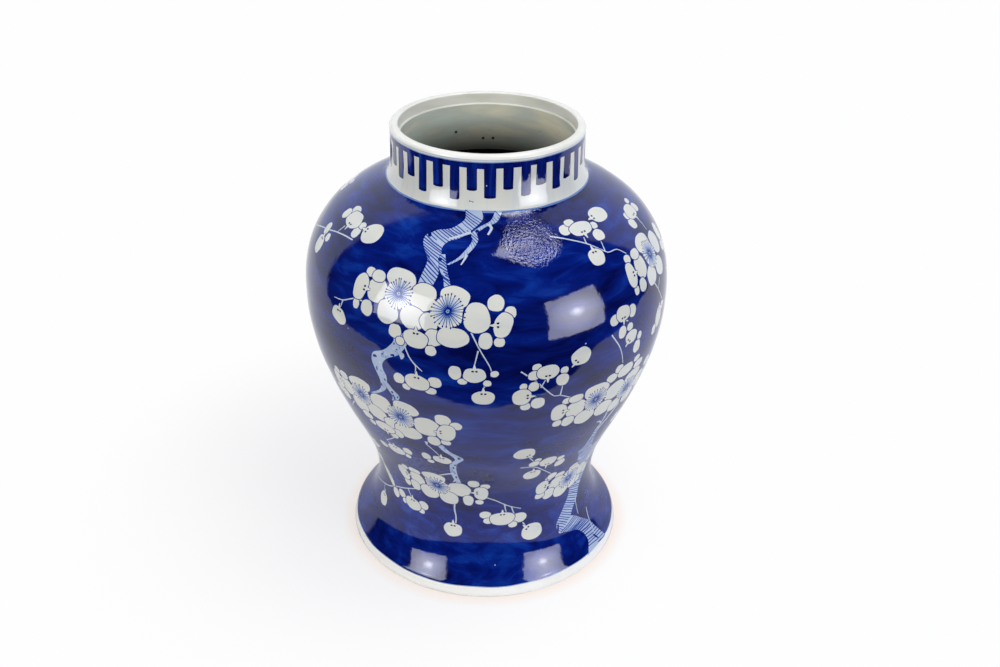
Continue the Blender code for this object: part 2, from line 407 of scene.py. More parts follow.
def bark_lines(left, right, tall, slant, hand, body):
    """Dark lines across a trunk, a few of them broken off; slant is how far they lean at either end."""
    fine = int(tall * 1.15 / BARK_SPACING)
    left, right = respaced(left, fine), respaced(right, fine)
    for number, edge in enumerate(left):
        across = number + round(slant[0] + (slant[1] - slant[0]) * number / fine)
        if across >= fine:
            break
        width = right[across] - edge
        near, far = 0.0, 1.0
        if hand.random() >= WHOLE_LINES:
            near, far = sorted((hand.choice((0, 1)), hand.uniform(0.35, 0.75)))
        start, end = edge + width * near, edge + width * far
        bend = (start + end) / 2 + (0, hand.uniform(-0.5, 0.7))
        thick = np.array((0, hand.uniform(0.46, 0.66)))
        lower = np.array([start, bend, end]) - thick
        upper = np.array([end, bend, start]) + thick
        paint([*lower, *upper], BARK_LINE, body)


def trunk(left, right, hatch=True, seed=1, slant=BARK_SLANT):
    """A stroke between two edges, with a dark line round it and its bark inside."""
    left, right = smooth(left), smooth(right)
    tall = max(np.ptp(left[:, 1]), np.ptp(right[:, 1]), 10)
    count = int(tall / TRUNK_STEP)
    left, right = respaced(left, count), respaced(right, count)
    wide = np.hypot(*((right - left) * (degree(left[:, 1].mean()), 1)).T)[:, None]
    edge = np.minimum(BARK_EDGE / wide, 0.3) * (right - left)
    paint([*left, *right[::-1]], LINE)
    body = paint([*(left + edge), *(right - edge)[::-1]], BARK)
    hand = random.Random(f"bark {seed} {tall:.0f}")
    if hatch:
        bark_lines(left, right, tall, slant, hand, body)
    else:
        flecks(left, right, tall * wide.mean(), hand, body)


def knots(places, level=KNOT):
    """Dark knots on a trunk."""
    for place in places:
        paint(oval(*place, wobble=0.15), level)


# %% [markdown]
# ## The tree on the front
#
# One half of the jar is laid out here, and the other half repeats it. Angles are degrees from the
# viewer, and runs are mm up the wall. The upper trunk leaves the neck, hooks round a knot and
# carries two large flowers. It starts again under them, thinner and paler, down to the waist.

# %% The upper trunk and its flowers
def upper_tree():
    trunk([(-11.5, 434), (-10.7, 424), (-14.5, 415), (-17, 412), (-21, 410), (-24, 405), (-25.2, 403),
           (-25.2, 397), (-23.4, 390), (-21.2, 383), (-20.6, 378), (-21.7, 361)],
          [(-2.3, 434), (-1.7, 425), (-5.4, 415), (-7.6, 410), (-10.7, 404), (-14.2, 401), (-16.2, 396),
           (-16.4, 390), (-15.3, 386), (-16, 378), (-15.3, 370), (-16.8, 358)], slant=(4, 2))
    trunk([(4.2, 434), (1.8, 424), (-2.6, 418), (-5.0, 414), (-6.9, 409), (-5.7, 404), (-6.7, 398),
           (-8.4, 392), (-10.3, 386), (-13.6, 379.5)],
          [(8.4, 433), (5.0, 422), (0.6, 418), (-1.7, 414.5), (-3.9, 410), (-3.0, 404), (-4.2, 397),
           (-6.0, 391), (-8.0, 386), (-12.4, 379)], seed=2)
    trunk([(-16.8, 387), (-15.8, 375), (-13.9, 368), (-13.2, 361)],
          [(-14.6, 388), (-12.8, 375), (-11.6, 368), (-10.6, 361)], seed=3)
    twig([(0.7, 420), (2.2, 416), (0.6, 409)], 2.6, 1.6)
    twig([(-7.0, 389), (-7.6, 385), (-8.6, 380)], 2.2, 1.0)
    twig([(-6.6, 411), (-11, 406.5), (-15, 402.5)], 2.8, 1.6)
    paint(oval(-23.6, 404, 3.2, 5.6, 30), GROUND)
    paint(oval(-16.2, 383, 3.6, 3.2), KNOT)
    paint(oval(-4.0, 412.5, 3.0, 3.4), KNOT)
    flower(-27, 349, [
        (-27.4, 361, 26, 16, -8), (-34.7, 347, 17.5, 19.5), (-19, 350.5, 21, 21.5),
        (-21.4, 332.5, 20.5, 18, -15), (-29.6, 332.5, 19, 18.5, 15)])
    flower(-11, 342, [
        (-9.2, 354, 23.5, 15, -12), (-16.4, 331, 13, 15, 30), (-14.6, 319, 15, 13), (-2.5, 338, 20.5, 23),
        (-9.2, 321, 24.5, 16)], 14.2)
    petals([
        (-39, 359, 8.5, 7), (-35.5, 358, 12, 9), (-41.3, 330, 6, 8), (-37, 330, 11, 12.5),
        (-26.5, 318.5, 10.5, 11), (-24.7, 311, 7, 6.5), (-15.4, 307.5, 8.5, 8), (3, 350, 12.5, 12),
        (7.2, 342.5, 8.5, 8.5), (0, 319.5, 10, 13), (3.9, 318.5, 8, 7)])
    bud(-41, 345, 14, 21, "right", -6)
    bud(-20, 315.5, 20, 14.5, "top", -10)
    bud(5, 332.5, 13.5, 20, "left", -20)


# %% [markdown]
# ## Sprays between the flowers
#
# Small sprays fill the ground: a bud on a bent twig with a few petals round it. Each is laid in
# the order it was painted, twig first, so that the petals cover the twig's end.

# %% Sprays between the flowers
def spray(twigs, around, buds):
    """Twigs, then the small petals, then the buds over them."""
    for path in twigs:
        twig(path)
    petals(around)
    for place in buds:
        bud(*place)


def left_sprays():
    spray([[(-53, 386), (-51, 387)],
           [(-54, 375), (-59, 374), (-65, 371), (-70, 367), (-75, 363), (-81, 357), (-89, 348)],
           [(-63.3, 380), (-64.5, 372)]],
          [(-66, 396, 12, 8), (-69.4, 388, 9, 10), (-55.3, 382, 9, 10), (-54.8, 389.5, 7, 6),
           (-72.3, 366, 9, 11), (-68, 361.5, 7, 7)],
          [(-61.8, 389, 22, 15, "bottom"), (-47.7, 388, 21, 18, "left", 20), (-71.5, 351, 14, 16, "top")])
    spray([[(-38, 334), (-42.3, 333), (-47, 327), (-51.3, 325)], [(-47, 327), (-47.7, 320)]], [],
          [(-48.3, 312, 18, 13.5, "top", -15)])
    trunk([(-27.6, 318), (-26.8, 310.6), (-28.6, 303.2), (-30.8, 297.7), (-34.1, 293.4), (-34.8, 285),
           (-33.6, 276), (-32.4, 266), (-33.2, 256), (-37.4, 247)],
          [(-21.6, 318), (-22.4, 309), (-23.9, 302), (-25.4, 297), (-28.6, 292), (-30.6, 285.7),
           (-30.6, 279), (-29.6, 272.6), (-30.6, 258), (-35.6, 247)], hatch=False)
    trunk([(-26.4, 300.5), (-25.2, 298), (-24.6, 294)],
          [(-24.2, 301.5), (-23.0, 299), (-23.8, 295)], hatch=False)
    trunk([(-31.4, 266), (-30, 258), (-28.8, 253), (-29.4, 247)],
          [(-29.4, 266), (-27.6, 259), (-26.0, 254), (-27.2, 247)], hatch=False)
    knots([
        (-33.4, 290, 4, 3), (-27.2, 296, 4, 2.4), (-33, 278, 1.6, 4), (-32, 262, 1.6, 3),
        (-28.6, 257, 2.2, 3)])
    spray([[(-23.5, 309), (-21.8, 298), (-20, 291), (-20.2, 284)], [(-20.8, 294), (-18.0, 287)]],
          [(-25.5, 275, 9, 9.5), (-23.3, 268, 6.5, 5.5), (-14.4, 278, 11, 9), (-15.7, 268.5, 9, 6)],
          [(-19.8, 275, 20.5, 14.5, "top", -6)])
    spray([[(-4.3, 328), (-1.7, 313), (1.4, 296), (1.8, 288)], [(-2, 311), (-3, 298)],
           [(0.0, 282), (-0.4, 274)]],
          [(-8.5, 290, 9.5, 12), (-6.4, 282, 7, 5), (2.6, 290, 6, 5), (0.6, 281, 6, 5)],
          [(-3, 288.5, 18, 12.5, "top"), (-0.5, 266, 18, 13.5, "top")])


# %% [markdown]
# ## The belly
#
# The widest part of the jar holds the largest flowers, in pairs, with buds hanging under them. The
# sprays and the flower on the right of the shoulder are laid out here too.

# %% The belly
def belly():
    flower(-42.7, 237, [
        (-42.2, 250, 26, 13.5, 8), (-50, 236, 17, 19), (-34.2, 237, 22, 20.5), (-37.7, 221, 21.5, 18, -15),
        (-45.5, 221, 19, 19, 15)])
    flower(-27.6, 228, [
        (-25, 241, 23.5, 14, -10), (-32.5, 213, 14, 14), (-18.7, 223, 23, 23),
        (-26.6, 208.5, 26, 17.5)], 13.6)
    petals([
        (-54, 249, 8, 6), (-50, 249, 11, 8), (-54, 221, 12, 12), (-57.2, 223, 8, 9), (-44, 209, 12, 9),
        (-43, 200, 7, 6), (-31, 200.5, 9, 11), (-33.7, 194, 8, 7), (-13, 236, 13, 12.5), (-9, 230, 9.5, 9),
        (-17.2, 204.5, 11, 12.5), (-13, 205, 8, 7)])
    bud(-55, 237, 12, 20, "right")
    bud(-36.8, 202, 21, 13, "bottom")
    bud(-12.4, 219, 15, 22, "left", -15)
    twig([(-20.3, 201), (-20.4, 196)], 3.0, 1.6)
    twig([(-33, 193), (-37, 184), (-40, 178)])
    twig([(-50, 217), (-54, 205)])
    spray([[(26, 402), (31.5, 397), (39.2, 387), (44.8, 375), (46.5, 373), (50.3, 372), (53.4, 365)],
           [(39.2, 387), (39.8, 393)], [(44.8, 375), (45.8, 384)]],
          [(34, 404.5, 10.5, 9, 20), (38, 410, 9, 6), (48.3, 399.5, 7, 6), (47, 390, 11, 10)],
          [(41.4, 401.5, 22, 12.5, "bottom"), (55.6, 406, 21, 14, "left"), (40.3, 373.5, 15, 14, "top")])
    flower(66, 351, [
        (65.2, 362.5, 25, 15.5), (57.4, 348.5, 16, 18.5), (74.2, 353, 19, 19.5), (70, 335, 19, 16, -15),
        (62.3, 335, 17, 16, 15)])
    petals([
        (52.4, 360.5, 7.5, 7), (57.3, 360.5, 12, 8), (55.6, 334, 10, 11), (51.8, 333, 6, 7),
        (83, 352, 14, 17), (84, 336, 14, 13), (80.4, 341, 9, 8)])
    bud(51.4, 347, 11.5, 20.5, "right")
    spray([[(74.7, 381), (74, 366)]],
          [(68.5, 380, 11, 9), (69.2, 388, 6.5, 6), (81.4, 384, 11, 8), (81.2, 393, 8, 4.5)],
          [(74.8, 387, 21, 13, "bottom")])
    spray([[(39, 306), (42.4, 292), (43.9, 283), (45.1, 272)], [(46, 312), (44.4, 314)]],
          [(40.3, 318, 9, 9), (48.2, 319, 9, 10.5), (43.5, 304, 8.5, 10.5), (46.9, 305.5, 7, 6.5),
           (52.2, 291, 5.5, 7), (51.3, 281, 9, 12)],
          [(44.1, 320.5, 16, 13, "bottom"), (47.8, 295, 14.5, 12, "low left"),
           (28.2, 296, 18, 15, "low left", 15)])
    twig([(62.8, 327), (65.3, 318), (68, 307), (71, 298)])
    twig([(67.5, 326), (65.5, 319)])


# %% [markdown]
# ## The right of the belly
#
# Here the twigs lean the other way, and a second pair of flowers hangs over a second trunk. Two thin
# branches meet at the top of that trunk, and dark knots mark it.

# %% The right of the belly
def right_sprays():
    spray([[(10, 291), (14.2, 281), (17.6, 270), (20.5, 261.5), (22.4, 261), (27, 254)],
           [(22.4, 261), (22.8, 272)], [(16.0, 273), (17.4, 281)]],
          [(14.6, 293.5, 7, 6), (13.8, 286, 9, 8), (23, 286.5, 6.5, 6), (22.6, 277.5, 10.5, 11),
           (10.9, 276, 5.5, 5.5), (13.9, 275, 8, 8.5), (11.9, 254, 8, 7), (15.6, 256.5, 11, 11)],
          [(18, 287.5, 18.5, 12.5, "bottom"), (10.6, 265, 15, 16, "right")])
    twig([(13.6, 266.5), (17.6, 265.5)], 1.2, 0.8, 0.6)
    flower(36.4, 242, [
        (41.4, 260, 12, 9), (44, 267, 9, 7.5), (47.7, 261, 20, 12), (53, 266.5, 9, 5.5), (55, 258, 14, 9),
        (36, 252.5, 26, 15), (29, 239, 18.5, 19.5), (44.6, 242, 23, 20), (41.8, 224, 21, 17, -15),
        (33.7, 224, 20, 17.5, 15)])
    flower(52, 234, [
        (53.5, 247, 24, 13), (59.6, 233, 17, 18), (56, 219, 18, 16, -12), (48.2, 219, 16, 15, 12)])
    petals([
        (25, 252, 7.5, 6), (28.3, 252, 13, 8), (27.2, 225, 11, 12), (23.3, 225.5, 7.5, 7.5),
        (63, 249, 11, 9), (63.4, 221, 9, 11), (67.4, 226, 7, 8)])
    bud(23, 240, 13.5, 18.5, "right")
    bud(66.4, 237, 12, 18, "left")
    trunk([(43.8, 192), (43.6, 184), (43.4, 176), (43.0, 165), (40.6, 159.4), (43.0, 152), (45.1, 138.3)],
          [(46.4, 192), (46.8, 182), (47.4, 174), (48.6, 165), (50.6, 156), (52.0, 147), (54.0, 138)],
          seed=5)
    twig([(45.8, 213), (45.8, 203), (44.4, 189)], 2.0, 1.8)
    twig([(52, 215), (49.2, 203), (45.8, 189)], 3.4, 2.8)
    twig([(42.2, 204), (43.6, 203), (45.2, 198)], 1.8, 1.6)
    knots([(45.4, 171, 2.2, 6), (47.4, 161, 2.0, 7, -20), (44.6, 153, 2.8, 5)], 0.85)
    spray([[(16.3, 180), (17.4, 176), (18.8, 171)], [(14, 163), (20, 159.9), (25.1, 149.4), (31, 135.7)],
           [(26, 157.9), (25.5, 151.5)]],
          [(20.5, 172, 6, 5), (19.5, 166, 10, 8), (31.3, 164, 7, 6), (32.1, 154.7, 10, 10.2),
           (31.4, 132.6, 9, 9)],
          [(14.3, 187, 19, 15, "low right"), (25.5, 164.5, 16, 14, "bottom"),
           (20.1, 146.3, 16, 13.5, "top")])
    spray([], [(62.4, 282.5, 8, 9), (68.8, 298, 8, 8)], [(66, 291, 15, 19, "top")])


# %% [markdown]
# ## Under the belly
#
# Where the wall draws in to the waist the shapes shrink a little, and the trunks come down to the
# foot. The second trunk comes down over the foot in two lengths, the lower one a bent root, with a
# dark knot and a pale crack in each.

# %% Under the belly
def lower_tree():
    trunk([(-17, 200), (-14.8, 190), (-12.6, 185), (-11, 178), (-13.4, 170), (-14, 152.6),
           (-12.5, 134.9)],
          [(-14.2, 200), (-12.2, 191), (-9.6, 186), (-7.4, 180), (-10.4, 170), (-11, 152.6),
           (-9.9, 134.9)], hatch=False)
    twig([(-12.5, 152.7), (-15.6, 149.5), (-19.6, 144.2)], 2.4, 1.4)
    twig([(-12.1, 142.1), (-13.7, 136.9)], 2.0, 1.2)
    knots([(-9.4, 181, 2.4, 3.4), (-12.2, 163, 1.6, 4), (-11.9, 146.3, 1.8, 3.6)])
    spray([[(-40, 178), (-38.4, 174)]], [(-44.3, 165, 9, 8), (-30.6, 173.5, 9, 9), (-31.7, 164, 6, 6)],
          [(-37, 167, 19, 13, "top", 12)])
    spray([[(-20.3, 196), (-17.6, 186), (-16.4, 180)]], [(-22.3, 175.5, 8, 10), (-21, 168, 6, 5)],
          [(-16, 174.5, 16, 11, "top")])
    flower(-22.2, 124.8, [
        (-32.6, 137.2, 12.1, 8.1), (-22.7, 137.9, 23.1, 13.3), (-32.6, 125.2, 15.1, 16.7),
        (-11.5, 124.9, 20, 20.3), (-17.2, 109.7, 18, 16.4, -12), (-27.2, 111.4, 18, 16.7, 12)])
    petals([
        (-37.9, 137.5, 6.5, 6.1), (-35.2, 112.7, 10, 13), (-40.2, 112.3, 6.5, 9.4),
        (-4.8, 136.9, 10, 10.3), (0.3, 132.8, 8, 7.1), (-7.7, 109.6, 9, 13.5), (-2.4, 108, 7, 5.4)])
    bud(-40.6, 125.4, 12.1, 19.7, "right")
    bud(-1.6, 121.6, 12.5, 18.7, "left")
    twig([(-14.6, 102.4), (-14.9, 94.2), (-14.3, 84.7), (-14.5, 76.8)], 1.6, 1.2)
    bud(-15.9, 69.8, 16.8, 13.7, "top")
    spray([[(-35.6, 106.6), (-43.5, 98.6), (-53.8, 89.1), (-60.8, 81.1), (-73.2, 71.1), (-82, 64)],
           [(-41.7, 100.2), (-40.4, 90)], [(-66.4, 76.5), (-67.6, 68)]],
          [(-32.4, 87.4, 9.8, 8.9), (-33.8, 79.6, 6.4, 4.9), (-47.5, 87.6, 9.1, 8), (-45.4, 81.2, 5.8, 5),
           (-52.8, 83.1, 9.5, 9.6), (-58.2, 98.9, 25.4, 8, -55)],
          [(-39.5, 83.5, 18.5, 12.9, "top"), (-66, 59.9, 15, 13.5, "top")])
    flower(44.5, 113.9, [
        (36.5, 128.5, 10.1, 7.9), (44.8, 131.1, 11.1, 7), (45.2, 123.4, 20.2, 11.8),
        (36.2, 116.5, 16, 18), (32.8, 104.7, 11.9, 13.3), (53.2, 114.6, 16, 17.5),
        (48.9, 103.9, 14.7, 13.2), (41.1, 102.5, 18.7, 17.3)])
    petals([
        (27.6, 106.5, 9, 8.8), (30.4, 129.6, 8, 8), (59.6, 124.3, 9.2, 7.9), (59, 109.7, 7.9, 11.8),
        (53.8, 102.5, 6.7, 7.7)])
    bud(27.9, 117.8, 12, 17.8, "right")
    spray([[(1, 114.8), (5, 110.5), (9.8, 103.5), (12.6, 100), (18.2, 94.8)],
           [(9.8, 103.5), (10.1, 98.4), (11, 91.4)], [(13.1, 100), (14.3, 92.4), (15.8, 84.7)],
           [(19.5, 76.9), (21.3, 72.3)]],
          [(0.5, 90.4, 9.9, 8.1), (1.7, 83.1, 7.5, 5.9), (17.8, 83.8, 12.4, 10.9),
           (14.3, 76.8, 7.9, 5.8)],
          [(8.9, 85.1, 21.9, 14.7, "top"), (24.4, 64.7, 20.7, 15.8, "high left")])


def trunk_foot():
    trunk([(44, 151), (46, 140), (48, 128), (48.5, 115), (47.8, 100.7), (47.9, 86.1), (44.2, 74.6),
           (40.4, 65.6), (38.6, 60), (39.6, 51.1)],
          [(59, 151), (60, 138), (62, 125), (63, 112), (61, 100), (58.2, 87.9), (56.5, 74.6), (52, 66.6),
           (48.6, 57.6), (43, 49)], seed=7)
    trunk([(41, 51), (43.6, 48.6), (46.6, 46.6), (51.4, 43.1), (54.6, 35.1), (54.6, 27.1), (52.6, 22),
           (50, 16)],
          [(50, 61), (53.4, 57.1), (56.4, 52), (59.5, 46.6), (63, 40.1), (64.6, 29.1), (65.6, 22),
           (66.4, 16)], seed=8)
    paint(oval(39.8, 56.5, 2.6, 9, -10), GROUND)
    paint(oval(60.2, 24, 2.2, 8, 25), GROUND)
    twig([(55.0, 76), (55.4, 65), (55.9, 55.9)], 1.0, 0.7)
    twig([(64.5, 53), (63.4, 45), (62.4, 36.1), (60.5, 27)], 1.2, 0.7)


# %% [markdown]
# ## Filling the sides
#
# The photographed side runs out a quarter turn from the viewer. A few flowers and sprays of the
# same kinds close the ground between the two halves, where the painting has to meet itself.

# %% Filling the sides
def side_flowers():
    spray([[(-102, 322), (-98, 313), (-95, 303), (-91, 296)], [(-95, 303), (-97, 295)]],
          [(-102, 289, 9, 9), (-92, 286, 9, 8), (-100.6, 281, 7, 6)],
          [(-96.6, 285.5, 18, 13, "top")])
    flower(-79, 224, [
        (-79, 237, 24, 14), (-87, 224, 17, 19), (-71.4, 224, 19, 20), (-75.4, 208.5, 19, 16, -12),
        (-83, 208.5, 18, 16, 12)])
    petals([(-69.6, 238, 10, 8), (-88.6, 237, 9, 8), (-68.4, 210, 9, 9)])
    bud(-65.4, 224, 12, 18, "right")
    spray([[(-62, 192), (-66, 184), (-71, 176), (-78, 168)], [(-71, 176), (-70.6, 168)]],
          [(-65.6, 163, 8, 8), (-75.8, 161, 8, 7)],
          [(-70.4, 160, 16, 12, "top"), (-57, 148.1, 15.2, 14, "right")])
    flower(-76, 125.7, [
        (-76, 137.7, 19, 12), (-84, 125.7, 14, 16), (-67.6, 125.7, 15, 16),
        (-68.9, 116.5, 14.6, 14.1, -12), (-80, 112.5, 15, 14, 12)], 9.5)
    petals([(-66, 136.7, 8, 7), (-88.6, 135.7, 8, 7), (-62.6, 114.9, 7, 8.9)])
    spray([[(92, 318), (89, 309), (88.4, 300)], [(89, 309), (93, 302)]],
          [(83.6, 292, 9, 9), (93, 292, 9, 8)],
          [(88.4, 290.5, 17, 13, "top")])
    spray([[(72, 200), (74, 190), (78, 181), (84, 174)], [(74, 190), (71, 184)]],
          [(64.4, 178, 9, 8), (74.4, 173, 8, 8)],
          [(69.6, 177, 17, 13, "top"), (58.6, 186, 16, 14, "right")])
    bud(81, 246, 15, 17, "left")
    spray([[(66, 160), (69, 150.9), (70, 142.8)]],
          [(64.6, 134.7, 8, 8), (75.6, 136.7, 8, 7)],
          [(70, 134.2, 16, 12, "top")])
    spray([[(98, 104), (94, 96), (91, 86)]], [(84.6, 74, 8, 7)], [(90, 74.6, 17, 12, "top")])


# %% [markdown]
# ## Both halves, then the comb on the neck
#
# The painter went round the jar with the same tree twice. The second half is the first one moved by
# half a turn. The comb is a ring of teeth under the lip, one long and one short in turn, drawn with
# a flat brush, so each tooth leans and ends a little differently. Three specks of cobalt
# fell below it.

# %% Both halves, then the comb on the neck
HALF_TURN = 180.0
TEETH = 36
TOOTH_WIDTH = 8.9
COMB_TOP = 474.3
COMB_BAND = 469.6
LONG_TOOTH = 443.8
SHORT_TOOTH = 450.8
COMB_LEVEL = 0.97
COMB_EDGE = 1.12
COMB_TIP = 1.15
SPECKS = [(-9.3, 441.2, 1.5, 0.9, -20), (-7.6, 440.7, 1.1, 0.9), (-8.4, 441.0, 2.2, 0.4, -15)]

for part in (left_sprays, upper_tree, trunk_foot, lower_tree, belly, right_sprays, side_flowers):
    part()
first_half = list(strokes)
for points, level, inside in first_half:
    moved = points + (HALF_TURN, 0)
    strokes.append((moved, level, None if inside is None else inside + len(first_half)))


def comb():
    """Teeth under the lip, each pulled down from the band."""
    hand = random.Random(11)
    for number in range(TEETH):
        angle = 1.7 + 360 / TEETH * number + hand.uniform(-0.35, 0.35)
        low = (LONG_TOOTH, SHORT_TOOTH)[number % 2] + hand.uniform(-0.9, 0.9)
        low -= 1.8 if 320 < angle < 342 else 0
        half = (TOOTH_WIDTH / 2 + hand.uniform(-0.5, 0.4)) / degree(low)
        lean = hand.uniform(-0.35, 0.35)
        sides = [(-half * 1.04, COMB_BAND + 0.6), (-half * 0.94 + lean / 2, 459), (-half + lean, low + 0.5),
                 (-half * 0.4 + lean, low - 0.2), (half * 0.5 + lean, low - 0.1), (half + lean, low + 0.4),
                 (half * 0.95 + lean / 2, 459), (half * 1.04, COMB_BAND + 0.6)]
        paint([(angle + across, run) for across, run in sides], COMB_LEVEL)
        rim = [(-half * 1.04, COMB_BAND), (-half + lean, low + 1), (-half * 0.85 + lean, low + 1),
               (-half * 0.88, COMB_BAND)]
        for side in (1, -1):
            paint([(angle + side * across, run) for across, run in rim], COMB_EDGE)
        paint([(angle - half * 0.9 + lean, low + 2.2), (angle + half * 0.9 + lean, low + 2.0),
               (angle + half + lean, low + 0.4), (angle - half + lean, low + 0.5)], COMB_TIP)


comb()
for speck in SPECKS:
    paint(oval(*speck, wobble=0.2), KNOT)
print(len(strokes), "strokes")

# %% [markdown]
# ## Where the ground begins and ends
#
# Under and over the painted field the clay stays white: a band on the foot, and the neck. The
# painter turned the jar on a wheel and held the brush still, so these borders run all the way
# round and waver. Each is a line across the unrolled wall, with the cobalt that starts above it.

# %% Where the ground begins and ends
BAND_TOP = run_at(10.0)
NECK_LINE = 432.4


def waver(angles, size, seed):
    """A slow wave that closes on itself round the jar."""
    hand = random.Random(seed)
    wave = np.zeros(len(angles))
    for lobe in (2, 3, 5, 7, 11, 17):
        wave += np.sin(np.radians(angles) * lobe + hand.uniform(0, math.tau)) * size / 3
    return wave


BORDER_ANGLES = np.linspace(-180, 180, 241)
BORDERS = [
    (FLOOR_RUN + 1.6 + waver(BORDER_ANGLES, 0.25, 2), RESERVE),
    (BAND_TOP + waver(BORDER_ANGLES, 0.55, 1), 0.22),
    (BAND_TOP + 0.8 + waver(BORDER_ANGLES, 0.60, 1), GROUND),
    (NECK_LINE - 0.5 + waver(BORDER_ANGLES, 0.30, 3), 0.38),
    (NECK_LINE + 1.1 + waver(BORDER_ANGLES, 0.35, 4), RESERVE),
    (COMB_BAND + waver(BORDER_ANGLES, 0.40, 5), COMB_LEVEL),
    (COMB_TOP + waver(BORDER_ANGLES, 0.20, 6), 0.30),
    (COMB_TOP + 0.75 + waver(BORDER_ANGLES, 0.20, 6), RESERVE),
    (COMB_TOP + 1.7 + waver(BORDER_ANGLES, 0.20, 7), 0.10),
    (COMB_TOP + 2.5 + waver(BORDER_ANGLES, 0.20, 7), RESERVE),
]

# %% [markdown]
# ## Cutting the wall along the strokes
#
# Now the wall gets its mesh. Blender's Delaunay routine takes points and lines on a plane and
# fills them with triangles that never cross a line. It gets the outline of every stroke, the
# borders, a grid that keeps the wall round, and the lines where one section of the jar ends. On the
# plan a degree is FLAT mm wide, and no point of the grid comes nearer to a stroke than ROOM. Each
# triangle then takes the cobalt of the last stroke that covers it.

# %% Cutting the wall along the strokes
COLUMN = 2.5
ROW = 5.0
ROOM = 1.3
FLAT = 2.6
JOINT_ROOM = 2.0
JOINT_GAP = 1.8
JOINT_HEIGHTS = (WAIST_HEIGHT, BELLY_HEIGHT, NECK_ROOT_HEIGHT)
JOINTS = [FLOOR_RUN, *(run_at(height + JOINT_GAP / 2) for height in JOINT_HEIGHTS), TOP_RUN]


def all_copies():
    """Every stroke, moved by whole turns to wherever it shows between -180 and 180 degrees."""
    for number, (points, _, _) in enumerate(strokes):
        for turn in (-720, -360, 0, 360):
            moved = points + (turn, 0)
            if moved[:, 0].max() > -180 and moved[:, 0].min() < 180:
                yield number, moved


class Plan:
    """Points and lines of the unrolled wall, in mm."""

    def __init__(self):
        self.points, self.lines = [], []

    def line(self, points, closed=False):
        first = len(self.points)
        self.points.extend(points)
        ends = range(first, len(self.points))
        self.lines.extend(zip(ends, list(ends)[1:]))
        if closed:
            self.lines.append((ends[-1], first))


def make_plan():
    plan = Plan()
    for _, points in all_copies():
        plan.line([(a * FLAT, run) for a, run in points], closed=True)
    for runs, _ in BORDERS:
        plan.line(list(zip(BORDER_ANGLES * FLAT, runs)))
    busy = kdtree.KDTree(len(plan.points))
    for number, (x, y) in enumerate(plan.points):
        busy.insert((x, y, 0), number)
    busy.balance()
    columns = np.arange(-180, 180 + COLUMN / 2, COLUMN)
    rows = [run for run in np.arange(FLOOR_RUN, TOP_RUN, ROW)
            if min(abs(run - joint) for joint in JOINTS) > JOINT_ROOM]
    for joint in JOINTS:
        plan.line([(a * FLAT, joint) for a in columns])
    for edge in (-180, 180):
        plan.line([(edge * FLAT, run) for run in sorted(rows + JOINTS)])
    for run in rows:
        for a in columns[1:-1]:
            if busy.find((a * FLAT, run, 0))[2] > ROOM:
                plan.points.append((a * FLAT, run))
    return plan


plan = make_plan()
places, _, faces, *_ = geometry.delaunay_2d_cdt(
    [Vector(point) for point in plan.points], plan.lines, [], 0, 0.0005, False)
PLACES = np.array([(place.x / FLAT, place.y) for place in places])
FACES = np.array([face[:3] for face in faces])
CENTRES = PLACES[FACES].mean(1)
print(len(PLACES), "points and", len(FACES), "triangles on the unrolled wall")

# %% Cobalt on each triangle
def covered(order, centres, points):
    """Which centres a stroke covers, tried only on those near it."""
    low, high = points.min(0), points.max(0)
    first, last = np.searchsorted(centres[order, 0], (low[0], high[0]))
    near = order[first:last]
    near = near[(centres[near, 1] > low[1]) & (centres[near, 1] < high[1])]
    x, y = centres[near].T
    ends = np.roll(points, -1, axis=0)
    hit = np.zeros(len(near), bool)
    for (x1, y1), (x2, y2) in zip(points, ends):
        if y1 != y2:
            hit ^= ((y1 > y) != (y2 > y)) & (x < (x2 - x1) * (y - y1) / (y2 - y1) + x1)
    return near[hit]


def levels():
    """The cobalt of every triangle."""
    level = np.zeros(len(FACES))
    for runs, strength in BORDERS:
        level[CENTRES[:, 1] > np.interp(CENTRES[:, 0], BORDER_ANGLES, runs)] = strength
    order = np.argsort(CENTRES[:, 0])
    shown = {}
    for number, points in all_copies():
        hits = covered(order, CENTRES, points)
        shown[number] = np.union1d(shown.get(number, np.zeros(0, int)), hits)
        _, strength, inside = strokes[number]
        if inside is not None:
            hits = hits[np.isin(hits, shown[inside])]
        level[hits] = strength
    return level


COBALT = levels()
print("bare clay on", (COBALT < 0.05).sum(), "triangles, full ground on", (COBALT == GROUND).sum())

# %% [markdown]
# ## Sections of the wall
#
# The jar's four sections meet in stepped joints. Each section is one closed shell: its painted
# outside comes from the cut wall, and the rest, over the joint, down the inside and back, is an
# outline spun round the axis. The two are joined, and the rings of edges between them are bridged.
# Joints meet flush at both surfaces, so the glaze runs over them unbroken, as it does when fired.

# %% Outlines behind the wall
BODY_WALL = 7.5
FOOT_WALL = 9.0
LAP = 4.0
FLUSH = 1.2
SEAT_RADIUS = LIP_RADIUS - 7.5
THROAT_RADIUS = SEAT_RADIUS - 1.5
SEAT_HEIGHT = LIP_HEIGHT - 10.0
RECESS_TOP = 16.0
FOOT_RING_INNER = 121.4


